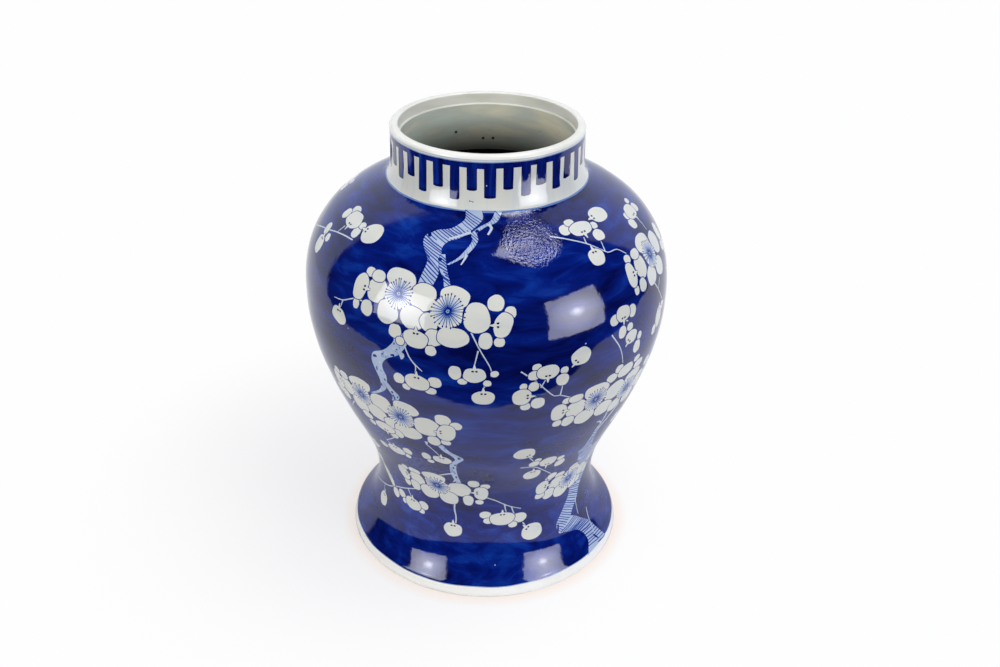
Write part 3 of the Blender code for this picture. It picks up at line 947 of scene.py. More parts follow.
def behind(low, high, depth, pace=9.0):
    """Points on the inside of the wall between two heights, from the bottom up."""
    runs = np.arange(max(run_at(low) - 2 * depth, FLOOR_RUN), run_at(high) + 2 * depth, pace / 4)
    slope = np.gradient(WALL[:, 0], RUNS), np.gradient(WALL[:, 1], RUNS)
    points = []
    for run in runs:
        dr, dh = (np.interp(run, RUNS, part) for part in slope)
        length = math.hypot(dr, dh)
        radius = np.interp(run, RUNS, WALL[:, 0]) - depth * dh / length
        height = np.interp(run, RUNS, WALL[:, 1]) + depth * dr / length
        if low <= height <= high and (not points or height > points[-1][1] + pace / 2):
            points.append((float(radius), float(height)))
    return points


def lap(height, outer, inner, rise=0.0):
    """A joint's step, from just under the surface inwards."""
    middle = (outer + inner) / 2 + rise
    flush, step = height + JOINT_GAP / 2, height + rise
    return [(outer - FLUSH, flush), (outer - FLUSH, step), (middle, step), (middle, step + LAP),
            (inner + FLUSH, step + LAP), (inner + FLUSH, flush + LAP), (inner, flush + LAP)]


WAIST = (WAIST_HEIGHT, WAIST_RADIUS, WAIST_RADIUS - FOOT_WALL)
BELLY = (BELLY_HEIGHT, BELLY_RADIUS, BELLY_RADIUS - BODY_WALL)
NECK = (NECK_ROOT_HEIGHT, NECK_ROOT_RADIUS, THROAT_RADIUS)

foot_inside = behind(26.5, WAIST[0] + LAP - 1, FOOT_WALL)
slab_edge = behind(RECESS_TOP - 1, RECESS_TOP + 6, FOOT_WALL, 2.0)[0]
foot_back = (lap(*WAIST) + foot_inside[::-1] + [(slab_edge[0], RECESS_TOP)]
             + [(FOOT_RING_INNER, 0.8), (FOOT_RING_INNER + 0.8, 0.0), (132.4, 0.0)])
lower_back = (lap(*BELLY) + behind(WAIST[0] + LAP + 3, BELLY[0] + LAP - 1, BODY_WALL)[::-1]
              + lap(*WAIST, JOINT_GAP)[::-1])
shoulder_inside = [point for point in behind(BELLY[0] + LAP + 3, 369.0, BODY_WALL)
                   if point[0] > THROAT_RADIUS + 1]
upper_back = (lap(*NECK) + [(THROAT_RADIUS, shoulder_inside[-1][1] + 0.6)] + shoulder_inside[::-1]
              + lap(*BELLY, JOINT_GAP)[::-1])


def quarter(radius, height, size, start, end, steps):
    """Points on an arc, with angles in degrees from outwards."""
    turns = [math.radians(start + (end - start) * step / steps) for step in range(steps + 1)]
    return [(radius + size * math.cos(turn), height + size * math.sin(turn)) for turn in turns]


neck_back = (quarter(LIP_RADIUS - LIP_ROUND, LIP_HEIGHT - LIP_ROUND, LIP_ROUND, 15, 90, 5)
             + quarter(SEAT_RADIUS + 1.4, LIP_HEIGHT - 1.4, 1.4, 95, 180, 5)
             + [(SEAT_RADIUS, SEAT_HEIGHT + 0.5), (SEAT_RADIUS - 0.4, SEAT_HEIGHT)]
             + [(THROAT_RADIUS + 0.5, SEAT_HEIGHT), (THROAT_RADIUS, SEAT_HEIGHT - 0.6)]
             + [(THROAT_RADIUS, 400.0), (THROAT_RADIUS, 388.0)]
             + lap(*NECK, JOINT_GAP)[::-1])
print("points behind the wall:", len(foot_back), len(lower_back), len(upper_back), len(neck_back))

# %% [markdown]
# ## Spinning an outline
#
# A potter's wheel is Blender's Spin operator: an outline of points and edges is turned once round
# the axis. The last ring lands on the first, so doubles are merged. The same function makes the
# inside of each section and the rings of slip.

# %% Spinning an outline
SPIN_STEPS = 144


def take(*pieces):
    """Select only these pieces, the last one active."""
    bpy.ops.object.select_all(action="DESELECT")
    for piece in pieces:
        piece.select_set(True)
    bpy.context.view_layer.objects.active = pieces[-1]


def add_piece(name, points, edges=(), faces=()):
    """A new object from points in metres."""
    mesh = bpy.data.meshes.new(name)
    mesh.from_pydata(points, edges, faces)
    piece = bpy.data.objects.new(name, mesh)
    bpy.context.scene.collection.objects.link(piece)
    return piece


def turned(name, outline, closed):
    """Spin an outline of radius and height, in mm, once round the axis."""
    points = [(radius * MM, 0.0, height * MM) for radius, height in outline]
    edges = [(k, k + 1) for k in range(len(points) - 1)] + ([(len(points) - 1, 0)] if closed else [])
    piece = add_piece(name, points, edges)
    take(piece)
    bpy.ops.object.mode_set(mode="EDIT")
    bpy.ops.mesh.select_all(action="SELECT")
    bpy.ops.mesh.spin(steps=SPIN_STEPS, angle=math.tau, center=(0, 0, 0), axis=(0, 0, 1))
    bpy.ops.mesh.select_all(action="SELECT")
    bpy.ops.mesh.remove_doubles(threshold=0.01 * MM)
    bpy.ops.mesh.normals_make_consistent(inside=False)
    bpy.ops.object.mode_set(mode="OBJECT")
    return piece


# %% [markdown]
# ## One function for nodes
#
# Every material below is a small tree of nodes. One function adds a node of any kind. A number among
# its inputs is set and a socket is linked, so a material reads as a list of its steps. The scale of
# a pattern comes from how many mm one of its marks spans.

# %% One function for nodes
def node(tree, kind, inputs=(), stops=(), **settings):
    """Add a node. Inputs are keyed by name or number, and stops are a ramp's places and colours."""
    made = tree.nodes.new(kind)
    for name, value in settings.items():
        setattr(made, name, value)
    for key, value in dict(inputs).items():
        if isinstance(value, bpy.types.NodeSocket):
            tree.links.new(value, made.inputs[key])
        else:
            made.inputs[key].default_value = value
    for _ in stops[2:]:
        made.color_ramp.elements.new(0.5)
    for number, (place, code) in enumerate(stops):
        made.color_ramp.elements[number].position = place
        made.color_ramp.elements[number].color = linear(code)
    return made


def new_material(name):
    """A material with an empty tree, and its output."""
    material = bpy.data.materials.new(name)
    material.use_nodes = True
    tree = material.node_tree
    tree.nodes.clear()
    return material, tree, node(tree, "ShaderNodeOutputMaterial")


def per_mm(span):
    """A texture's scale when one of its marks spans so many mm."""
    return 1 / (span * MM)


# %% [markdown]
# ## Cobalt under a clear glaze
#
# The blue is cobalt oxide brushed on raw porcelain. It sinks into the glaze in the kiln, so the
# colour lies under a smooth glass skin with an index of about 1.5: sharp reflections over a deep
# matt colour. The strength on each triangle picks a colour between bare clay and nearly black blue.
# On the ground, the painter's brush leaves overlapping arcs and thin places, drawn here by noise
# stretched round the jar, and on the foot the same blue is drawn a little lighter. The glass has a
# faint orange peel, a few pinholes that show the clay, and one rough spot on the shoulder where grit stuck
# to it.
# The peel and the grit are drawn coarser than they are, so that they show from this far.

# %% Cobalt under a clear glaze
COBALT_STOPS = [
    (0.00, "#dfe0d9"),
    (0.12, "#b9c8e2"),
    (0.30, "#6f8fc9"),
    (0.50, "#2950a6"),
    (0.66, "#0a3394"),
    (0.80, "#021a76"),
    (1.00, "#000749"),
]
FULL_STRENGTH = 1.22
FOOT_FULL = 1.28
GROUND_STROKE = 62.5
COMB_STROKE = 33.333
FOOT_STROKE = 41.667
WASH_CLOUD = 58.824
PINHOLE_SPACING = 29.412
ORANGE_PEEL = 6.6667
GRIT = 2.1739
ROUGH_SPOT = (0.046, -0.143, 0.404)


def painted_glaze(name, stretch, stroke, full=FULL_STRENGTH):
    """Porcelain glaze over cobalt; stretch says which way the brush ran, full how thin the wash is."""
    material, tree, output = new_material(name)
    strength = node(tree, "ShaderNodeAttribute", attribute_name="cobalt").outputs["Fac"]
    place = node(tree, "ShaderNodeAttribute", attribute_name="brush_place").outputs["Vector"]
    brushed = node(tree, "ShaderNodeMapping", {"Vector": place, "Scale": stretch}).outputs["Vector"]
    pull = node(tree, "ShaderNodeTexNoise", {
        "Vector": brushed, "Scale": per_mm(stroke), "Detail": 5.0, "Roughness": 0.62, "Distortion": 1.5,
    }).outputs["Fac"]
    cloud = node(tree, "ShaderNodeTexNoise", {
        "Vector": place, "Scale": per_mm(WASH_CLOUD), "Detail": 2.0}).outputs["Fac"]
    arcs = node(tree, "ShaderNodeTexVoronoi", {
        "Vector": brushed, "Scale": 1.7 * per_mm(stroke), "Randomness": 1.0},
        feature="SMOOTH_F1").outputs["Distance"]
    mottle = node(tree, "ShaderNodeMath", {0: pull, 1: 0.62}, operation="MULTIPLY").outputs[0]
    for pattern, share in ((cloud, 0.42), (arcs, 0.20)):
        mottle = node(tree, "ShaderNodeMath", {0: pattern, 1: share, 2: mottle},
                      operation="MULTIPLY_ADD").outputs[0]
    thin = node(tree, "ShaderNodeMapRange", {
        "Value": mottle, "From Min": 0.42, "From Max": 0.80, "To Min": 0.30, "To Max": -0.24,
    }).outputs["Result"]
    on_ground = node(tree, "ShaderNodeMapRange", {
        "Value": strength, "From Min": 0.5, "From Max": 0.95, "To Min": 0.15}).outputs["Result"]
    change = node(tree, "ShaderNodeMath", {0: thin, 1: on_ground, 2: strength},
                  operation="MULTIPLY_ADD").outputs[0]
    cells = node(tree, "ShaderNodeTexVoronoi", {
        "Vector": place, "Scale": per_mm(PINHOLE_SPACING)}).outputs["Distance"]
    hole = node(tree, "ShaderNodeMapRange", {
        "Value": cells, "From Min": 0.014, "From Max": 0.032}).outputs["Result"]
    change = node(tree, "ShaderNodeMath", {0: change, 1: hole}, operation="MULTIPLY").outputs[0]
    depth = node(tree, "ShaderNodeMath", {0: change, 1: full}, operation="DIVIDE").outputs[0]
    colour = node(tree, "ShaderNodeValToRGB", {"Fac": depth}, COBALT_STOPS).outputs["Color"]
    object_place = node(tree, "ShaderNodeTexCoord").outputs["Object"]
    peel = node(tree, "ShaderNodeTexNoise", {
        "Vector": object_place, "Scale": per_mm(ORANGE_PEEL), "Detail": 5.0}).outputs["Fac"]
    bump = node(tree, "ShaderNodeBump", {
        "Height": peel, "Strength": 0.13, "Distance": 0.6 * MM}).outputs["Normal"]
    ash = node(tree, "ShaderNodeTexNoise", {
        "Vector": object_place, "Scale": per_mm(GRIT), "Detail": 2.0, "Roughness": 0.5}).outputs["Fac"]
    away = node(tree, "ShaderNodeVectorMath", {0: place, 1: ROUGH_SPOT},
                operation="DISTANCE").outputs["Value"]
    away = node(tree, "ShaderNodeMath", {0: cloud, 1: 0.03, 2: away}, operation="MULTIPLY_ADD").outputs[0]
    rough = node(tree, "ShaderNodeMapRange", {
        "Value": away, "From Min": 0.050, "From Max": 0.034}).outputs["Result"]
    grit = node(tree, "ShaderNodeMath", {0: rough, 1: pull}, operation="MULTIPLY").outputs[0]
    bump = node(tree, "ShaderNodeBump", {
        "Height": ash, "Strength": grit, "Distance": 1.3 * MM, "Normal": bump}).outputs["Normal"]
    dull = node(tree, "ShaderNodeMath", {0: rough, 1: 0.02, 2: 0.055}, operation="MULTIPLY_ADD").outputs[0]
    shader = node(tree, "ShaderNodeBsdfPrincipled", {
        "Base Color": colour, "Normal": bump, "Roughness": dull, "IOR": 1.52})
    tree.links.new(shader.outputs["BSDF"], output.inputs["Surface"])
    return material


FIELD_GLAZE = painted_glaze("cobalt_ground_under_clear_glaze", (1.0, 1.0, 3.4), GROUND_STROKE)
NECK_GLAZE = painted_glaze("cobalt_comb_under_clear_glaze", (2.6, 2.6, 0.45), COMB_STROKE)
FOOT_WASH = painted_glaze("lighter_cobalt_wash_under_clear_glaze", (1.0, 1.0, 2.4), FOOT_STROKE, FOOT_FULL)

# %% [markdown]
# ## Bare clay and the glaze inside
#
# The ring that stands in the kiln and the seat for the cover are wiped clean, or they would stick:
# there the porcelain is bare, matt and slightly warm. Inside, the glaze is thin and greyish green
# over throwing lines, with pits where air broke through. Its colour holds painted light: painted
# lighter and warmer on one side, and painted shade that darkens it down the throat and in the open
# pits. Last come the glaze of the foot's band and the lip, drawn whiter than the bare petals as
# painted light, and the slip of the joints.

# %% Bare clay and the glaze inside
STAIN = 45.4545
SHADE_PLACES = (0.35, 0.5, 0.68)
PIT_SPACING = 18.1818
# Painted shade: the open pits, and how far round each one the colour is darkened.
PAINTED_PIT_SHADE_RIM = (0.9 * MM, 1.7 * MM)
PITS = [(-0.0297, 0.0696, 0.3844), (-0.0046, 0.0756, 0.3767), (0.0047, 0.0756, 0.3768)]
# Painted shade: the heights between which the throat's colour darkens.
THROAT_PAINTED_SHADE = (368.0 * MM, 400.0 * MM)


def painted_throat_shade(tree, place, height):
    """Painted shade: the share of its colour that the throat keeps, less further down and hardly any in the
    open pits.
    """
    share = node(tree, "ShaderNodeMapRange", {
        "Value": height, "From Min": THROAT_PAINTED_SHADE[0], "From Max": THROAT_PAINTED_SHADE[1], "To Min": 0.13,
    }).outputs["Result"]
    for hole in PITS:
        away = node(tree, "ShaderNodeVectorMath", {0: place, 1: hole},
                    operation="DISTANCE").outputs["Value"]
        kept = node(tree, "ShaderNodeMapRange", {
            "Value": away, "From Min": PAINTED_PIT_SHADE_RIM[0], "From Max": PAINTED_PIT_SHADE_RIM[1], "To Min": 0.08,
        }).outputs["Result"]
        share = node(tree, "ShaderNodeMath", {0: share, 1: kept}, operation="MULTIPLY").outputs[0]
    return share


def plain_clay(name, codes, roughness, grain, bump_depth, inside=False):
    """A clay or glaze in three close shades with a fine grain; inside, painted light on one side and
    painted shade down the throat and in the pits.
    """
    material, tree, output = new_material(name)
    place = node(tree, "ShaderNodeTexCoord").outputs["Object"]
    flat = node(tree, "ShaderNodeMapping", {"Vector": place, "Scale": (1.0, 1.0, 4.0)}).outputs["Vector"]
    shade = node(tree, "ShaderNodeTexNoise", {
        "Vector": flat, "Scale": per_mm(STAIN), "Detail": 5.0}).outputs["Fac"]
    if inside:
        # Painted light: the inside runs lighter and warmer towards +X, one side lit more than the other.
        parts = node(tree, "ShaderNodeSeparateXYZ", {0: place}).outputs
        shade = node(tree, "ShaderNodeMath", {0: parts["X"], 1: 1.6, 2: shade},
                     operation="MULTIPLY_ADD").outputs[0]
    stops = list(zip(SHADE_PLACES, codes))
    colour = node(tree, "ShaderNodeValToRGB", {"Fac": shade}, stops).outputs["Color"]
    fine = node(tree, "ShaderNodeTexNoise", {
        "Vector": place, "Scale": per_mm(grain), "Detail": 3.0}).outputs["Fac"]
    bump = node(tree, "ShaderNodeBump", {
        "Height": fine, "Strength": 0.5, "Distance": bump_depth * MM}).outputs["Normal"]
    # Painted shade: the colour is darkened down the throat and in the pits.
    if inside:
        share = painted_throat_shade(tree, place, parts["Z"])
        colour = node(tree, "ShaderNodeVectorMath", {0: colour, "Scale": share},
                      operation="SCALE").outputs[0]
        cells = node(tree, "ShaderNodeTexVoronoi", {
            "Vector": place, "Scale": per_mm(PIT_SPACING)}).outputs["Distance"]
        hole = node(tree, "ShaderNodeMapRange", {
            "Value": cells, "From Min": 0.05, "From Max": 0.12}).outputs["Result"]
        bump = node(tree, "ShaderNodeBump", {
            "Height": hole, "Strength": 0.5, "Distance": 0.8 * MM, "Normal": bump}).outputs["Normal"]
    shader = node(tree, "ShaderNodeBsdfPrincipled", {
        "Base Color": colour, "Normal": bump, "Roughness": roughness, "IOR": 1.5})
    tree.links.new(shader.outputs["BSDF"], output.inputs["Surface"])
    return material


BISCUIT = plain_clay("unglazed_porcelain", ("#d2d2c6", "#dcdcd2", "#e5e5dd"), 0.62, 1.1111, 0.05)
INSIDE_GLAZE_WITH_PAINTED_SHADE = plain_clay(
    "thin_grey_inside_glaze_with_painted_shade", ("#c4d0c8", "#c2c8bd", "#dbd7c1"), 0.16, 6.25, 0.12, inside=True)
FIRED_SLIP = plain_clay("fired_slip", ("#c4bcae", "#d3ccc0", "#ddd8ce"), 0.7, 0.71429, 0.06)
BASE_GLAZE = plain_clay(
    "clear_glaze_under_the_base", ("#cfd2cb", "#dadcd4", "#e2e3dc"), 0.14, 4.1667, 0.08)
# Painted light: the foot's band and the lip are the same porcelain as the bare petals, drawn whiter for the
# light that they catch.
FOOT_GLAZE_PAINTED_LIGHTER = plain_clay("clear_glaze_on_the_foot_painted_lighter", ("#f8f7f1", "#fbfaf5", "#fdfdfa"), 0.12, 4.1667, 0.05)
RIM_GLAZE_PAINTED_LIGHTER = plain_clay("clear_glaze_on_the_lip_painted_lighter", ("#ebebe3", "#f2f2ec", "#f7f7f3"), 0.09, 3.8462, 0.05)

# %% [markdown]
# ## Closing a shell
#
# The painted face and the spun back are joined into one mesh. Each end leaves two open rings, one
# with a point every few degrees and one with the painting's extra points, and Bridge Edge Loops
# fills between rings that don't match. Normals on the painted side are worked out from the wall
# itself, so the cut lines never show in the gloss.

# %% Closing a shell
def set_values(mesh, name, kind, domain, field, values):
    """Give a mesh named values, one on each of its points or faces."""
    mesh.attributes.new(name, kind, domain).data.foreach_set(field, values.astype(np.float32).ravel())


def painted_face(name, low, high):
    """The part of the cut wall between two joints, as a mesh that knows its place and cobalt."""
    keep = (CENTRES[:, 1] > low) & (CENTRES[:, 1] < high) & (abs(CENTRES[:, 0]) < 180)
    used, renumbered = np.unique(FACES[keep], return_inverse=True)
    spots = PLACES[used]
    piece = add_piece(name, on_wall(spots[:, 0], spots[:, 1]), (), renumbered.reshape(-1, 3).tolist())
    set_values(piece.data, "cobalt", "FLOAT", "FACE", "value", COBALT[keep])
    set_values(piece.data, "wall_place", "FLOAT2", "POINT", "vector", spots)
    return piece


def ring_edges(shape, height):
    """Open edges near a height."""
    return [edge for edge in shape.edges
            if edge.is_boundary and all(abs(vertex.co.z / MM - height) < 1.6 for vertex in edge.verts)]


def close_shell(name, low, high, back):
    """Join the painted face to its spun back, bridge both rings, and smooth it."""
    spun = turned(name + "_back", back, closed=False)
    piece = painted_face(name, low, high)
    take(spun, piece)
    painted = len(piece.data.polygons)
    bpy.ops.object.join()
    bpy.ops.object.mode_set(mode="EDIT")
    bpy.ops.mesh.select_mode(type="EDGE")
    shape = bmesh.from_edit_mesh(piece.data)
    doubled = bmesh.ops.find_doubles(shape, verts=shape.verts[:], dist=0.01 * MM)["targetmap"]
    bmesh.ops.weld_verts(shape, targetmap=doubled)
    bmesh.update_edit_mesh(piece.data)
    for _, height in (back[0], back[-1]):
        bpy.ops.mesh.select_all(action="DESELECT")
        shape = bmesh.from_edit_mesh(piece.data)
        for edge in ring_edges(shape, height):
            edge.select_set(True)
        bmesh.update_edit_mesh(piece.data)
        bpy.ops.mesh.bridge_edge_loops()
    bpy.ops.mesh.select_all(action="SELECT")
    bpy.ops.mesh.quads_convert_to_tris()
    bpy.ops.mesh.normals_make_consistent(inside=False)
    bpy.ops.object.mode_set(mode="OBJECT")
    return piece, painted


def open_edges(piece):
    """How many edges don't have exactly two faces: none on a closed shell."""
    shape = bmesh.new()
    shape.from_mesh(piece.data)
    count = sum(1 for edge in shape.edges if len(edge.link_faces) != 2)
    shape.free()
    return count


# %% Four shells
shells = {}
for name, low, high, back in (
    ("foot_skirt_glazed", JOINTS[0], JOINTS[1], foot_back),
    ("lower_body_glazed", JOINTS[1], JOINTS[2], lower_back),
    ("upper_body_glazed", JOINTS[2], JOINTS[3], upper_back),
    ("neck_collar_glazed", JOINTS[3], JOINTS[4], neck_back),
):
    piece, painted = close_shell(name, low, high, back)
    shells[name] = piece
    count = len(piece.data.polygons)
    print(name, count, "triangles,", painted, "painted,", open_edges(piece), "open edges")

# %% [markdown]
# ## Finish on each shell
#
# After joining, each face needs its material, and each point its place for the brush pattern.
# Painted faces are those whose three points all know their place on the wall. Behind the wall, the
# place alone says what a face is: bare clay on the foot ring and the cover's seat, the lip's glaze
# over the lip, and the inside glaze elsewhere. The foot's white band is picked out by its height.
# The lip and the foot's band take a glaze drawn whiter than the bare petals, which is painted
# light: the same porcelain, lit more strongly.

# %% Finish on each shell
PAINTED, BARE, INSIDE, EDGE = range(4)
ON_WALL = 0.05
BRUSH_RADIUS = 150.0
SMOOTH_ANGLE = math.radians(35)
MAP_WALL = (0.02, 0.66)
MAP_BACK = (0.72, 0.26)


def mesh_level(mesh):
    """The cobalt on each face."""
    level = np.zeros(len(mesh.polygons), np.float32)
    mesh.attributes["cobalt"].data.foreach_get("value", level)
    return level


def bake_map(mesh, corners, angle, run, painted, spots, back):
    """A flat map: the painted wall unrolled below, the back unrolled above."""
    middle = spots[corners].mean(1)
    side = np.degrees(np.arctan2(middle[:, 0], -middle[:, 1]))[:, None]
    turn = angle[corners]
    turn = np.where(abs(turn) > 179.9, np.copysign(180, side), turn)
    low, high = run[corners[painted]].min(), run[corners[painted]].max()
    outline = np.array(back)
    along = np.r_[0, np.cumsum(np.hypot(*np.diff(outline, axis=0).T))]
    radius = np.hypot(spots[:, 0], spots[:, 1])
    away = np.hypot(radius[:, None] - outline[:, 0], spots[:, 2:] - outline[:, 1])
    upper = MAP_BACK[0] + MAP_BACK[1] * (along / along[-1])[away.argmin(1)]
    lower = MAP_WALL[0] + MAP_WALL[1] * (run - low) / (high - low)
    across = 0.01 + 0.98 * (turn + 180) / 360
    up = np.where(painted[:, None], lower[corners], upper[corners])
    places = np.stack([across, up], -1).astype(np.float32)
    mesh.uv_layers.new(name="OFBake").data.foreach_set("uv", places.ravel())


def finish_shell(piece, glaze, lighter_edge_glaze, back):
    """Materials, brush place, normals and a map for baking."""
    mesh = piece.data
    count = len(mesh.vertices)
    spots = np.zeros(count * 3, np.float32)
    mesh.vertices.foreach_get("co", spots)
    spots = spots.reshape(-1, 3) / MM
    known = np.zeros(count * 2, np.float32)
    mesh.attributes["wall_place"].data.foreach_get("vector", known)
    known = known.reshape(-1, 2)
    angle = np.degrees(np.arctan2(spots[:, 0], -spots[:, 1]))
    on_face = np.linalg.norm(on_wall(known[:, 0], known[:, 1]) / MM - spots, axis=1) < ON_WALL
    corners = np.zeros(len(mesh.polygons) * 3, np.int32)
    mesh.loops.foreach_get("vertex_index", corners)
    corners = corners.reshape(-1, 3)
    painted = on_face[corners].all(1)
    middle = spots[corners].mean(1)
    radius, height = np.hypot(middle[:, 0], middle[:, 1]), middle[:, 2]
    slots = np.full(len(corners), INSIDE)
    slots[(radius > FOOT_RING_INNER - 2.4) & (height < 1.0)] = BARE
    slots[(radius < SEAT_RADIUS + 0.9) & (height > SEAT_HEIGHT - 0.5)] = BARE
    # The lip takes the glaze that is painted lighter.
    slots[(radius > SEAT_RADIUS + 0.2) & (height > LIP_HEIGHT - LIP_ROUND - 0.2)] = EDGE
    slots[painted] = PAINTED
    run = known[corners, 1].mean(1)
    # The foot's band takes the glaze that is painted lighter.
    slots[painted & (run < BAND_TOP + 2) & (mesh_level(mesh) == RESERVE)] = EDGE
    slots[painted & (run < np.interp(angle[corners].mean(1), BORDER_ANGLES, BORDERS[0][0]))] = BARE
    for material in (glaze, BISCUIT, INSIDE_GLAZE_WITH_PAINTED_SHADE, lighter_edge_glaze):
        mesh.materials.append(material)
    mesh.polygons.foreach_set("material_index", slots.astype(np.int32))
    run = np.where(on_face, known[:, 1], 0)
    round_it = np.radians(angle)
    brush = np.stack([BRUSH_RADIUS * np.sin(round_it), -BRUSH_RADIUS * np.cos(round_it), run], 1) * MM
    set_values(mesh, "brush_place", "FLOAT_VECTOR", "POINT", "vector", brush)
    bake_map(mesh, corners, angle, known[:, 1], painted, spots, back)
    take(piece)
    bpy.ops.object.shade_smooth_by_angle(angle=SMOOTH_ANGLE)
    normals = np.zeros(len(corners) * 9, np.float32)
    mesh.corner_normals.foreach_get("vector", normals)
    normals = normals.reshape(-1, 3, 3)
    wall = wall_normal(known[:, 0], known[:, 1])
    normals[painted] = wall[corners[painted]]
    mesh.normals_split_custom_set(normals.reshape(-1, 3).tolist())


for name, glaze, lighter_edge_glaze, back in (
    ("foot_skirt_glazed", FOOT_WASH, FOOT_GLAZE_PAINTED_LIGHTER, foot_back),
    ("lower_body_glazed", FIELD_GLAZE, RIM_GLAZE_PAINTED_LIGHTER, lower_back),
    ("upper_body_glazed", FIELD_GLAZE, RIM_GLAZE_PAINTED_LIGHTER, upper_back),
    ("neck_collar_glazed", NECK_GLAZE, RIM_GLAZE_PAINTED_LIGHTER, neck_back),
):
    finish_shell(shells[name], glaze, lighter_edge_glaze, back)

# %% [markdown]
# ## The base and the slip
#
# Under the jar a disc closes the foot, set above the foot ring. It starts as a cylinder, drawn out
# at its upper edge to follow the flare, with an inset on each side so the middle can sag a little
# as it does in the kiln. A coil of clay lies in the corner under it, and rings of slip fill the
# joints. None of these shows from outside, but they are there when the jar is turned over.

# %% The base slab
SAG = 0.35
SAG_RINGS = (24, 30, 26)


def faces_by(piece, test):
    """In edit mode, select only the faces that pass a test."""
    bpy.ops.mesh.select_all(action="DESELECT")
    bpy.ops.mesh.select_mode(type="FACE")
    shape = bmesh.from_edit_mesh(piece.data)
    for face in shape.faces:
        face.select_set(test(face))
    bmesh.update_edit_mesh(piece.data)


slab_low, slab_high = (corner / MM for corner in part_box("base_slab"))
slab_radius = slab_high.x
bpy.ops.object.select_all(action="DESELECT")
bpy.ops.mesh.primitive_cylinder_add(
    vertices=SPIN_STEPS, radius=slab_radius * MM, depth=(slab_high.z - slab_low.z) * MM,
    location=(0, 0, (slab_low.z + slab_high.z) / 2 * MM))
slab = bpy.context.active_object
slab.name = slab.data.name = "base_slab_glazed"
bpy.ops.object.transform_apply(location=True, rotation=True, scale=True)
bpy.ops.object.mode_set(mode="EDIT")
faces_by(slab, lambda face: face.normal.z > 0.9)
upper_radius = behind(slab_high.z - 1, slab_high.z + 4, FOOT_WALL, 2.0)[0][0] - 0.3
shrink = upper_radius / slab_radius
bpy.ops.transform.resize(value=(shrink, shrink, 1))
for side in (1, -1):
    faces_by(slab, lambda face: face.normal.z * side > 0.9)
    bpy.ops.mesh.inset(thickness=1.0 * MM)
    for thickness in SAG_RINGS:
        bpy.ops.mesh.inset(thickness=thickness * MM)
        bpy.ops.transform.translate(value=(0, 0, -SAG * MM))
bpy.ops.object.mode_set(mode="OBJECT")
slab.data.materials.append(BASE_GLAZE)
bpy.ops.object.shade_smooth_by_angle(angle=SMOOTH_ANGLE)
print("base slab", [round(v, 1) for v in slab.dimensions / MM], "mm")

# %% The coil and the rings of slip
coil_low, coil_high = (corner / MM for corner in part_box("base_luting_coil"))
COIL_RADIUS = 2.5
FINGER_DENTS = 23
DENT_DEPTH = 0.18
SLIP_DEPTH = 1.5
SLIP_ROOM = 0.3
bpy.ops.object.select_all(action="DESELECT")
bpy.ops.mesh.primitive_torus_add(
    major_segments=SPIN_STEPS, minor_segments=14, major_radius=(coil_high.x - COIL_RADIUS - 0.1) * MM,
    minor_radius=COIL_RADIUS * MM, location=(0, 0, (coil_low.z + coil_high.z) / 2 * MM))
coil = bpy.context.active_object
coil.name = coil.data.name = "base_coil_pressed"
bpy.ops.object.transform_apply(location=True, rotation=True, scale=True)
for vertex in coil.data.vertices:
    turn = math.atan2(vertex.co.y, vertex.co.x)
    vertex.co.z += DENT_DEPTH * MM * math.sin(FINGER_DENTS * turn)
coil.data.materials.append(FIRED_SLIP)
bpy.ops.object.shade_smooth()


def slip_ring(name, joint):
    """Slip in a stepped joint, kept under the glaze."""
    height, outer, inner = joint
    base, middle = height + SLIP_ROOM, (outer + inner) / 2 + SLIP_ROOM
    thick = JOINT_GAP - 2 * SLIP_ROOM
    low = [(outer - SLIP_DEPTH, base), (middle, base),
           (middle, base + LAP), (inner + SLIP_DEPTH, base + LAP)]
    high = [(inner + SLIP_DEPTH, base + LAP + thick), (middle + thick, base + LAP + thick),
            (middle + thick, base + thick), (outer - SLIP_DEPTH, base + thick)]
    ring = turned(name, low + high, closed=True)
    ring.data.materials.append(FIRED_SLIP)
    take(ring)
    bpy.ops.object.shade_smooth_by_angle(angle=SMOOTH_ANGLE)
    return ring


slips = {
    "waist_slip_joint": slip_ring("waist_slip", WAIST),
    "belly_slip_joint": slip_ring("belly_slip", BELLY),
    "neck_slip_joint": slip_ring("neck_slip", NECK),
}

# %% [markdown]
# ## Each piece stands for its solid
#
# Every piece rides on the jar's one body and hides the plain solid that it stands for.

# %% Each piece stands for its solid
stands_for = [
    (shells["foot_skirt_glazed"], "foot_skirt", "cobalt_foot"),
    (shells["lower_body_glazed"], "lower_body", "cobalt_lower_body"),
    (shells["upper_body_glazed"], "upper_body", "cobalt_upper_body"),
    (shells["neck_collar_glazed"], "neck_collar", "glazed_neck"),
    (slab, "base_slab", "glazed_base"),
    (coil, "base_luting_coil", "slip"),
    *((ring, solid, "slip") for solid, ring in slips.items()),
]
for piece, solid, slot in stands_for:
    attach(piece, "root")
    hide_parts(solid)

# %% [markdown]
# ## Floor, light and camera
#
# The jar stands on a small white table in a white room, lit by a soft box on each side. A glossy
# pot is a mirror of its surroundings, so these are part of its look: the table fills the foot with
# a pale veil, and the boxes are the bright patches on the belly. The boxes that are mirrored and the
# lamps that light the jar are separate, so that each can have its own strength.

# %% Floor and room
TABLE_EDGE = [
    (-0.60, -0.32), (0.62, -0.32), (1.24, 0.23), (1.6, 2.2), (-1.6, 2.2), (-1.2, 0.38), (-0.80, -0.06)]
ROOM_EDGE = [(-6, -6), (6, -6), (6, 6), (-6, 6)]
PAPER_WITH_PAINTED_WARM_SHADOW = [(0.0, "#fbeee6"), (1.0, "#fefeff")]
JAR_SHADOW = (-0.12, 0.05, 0.0)


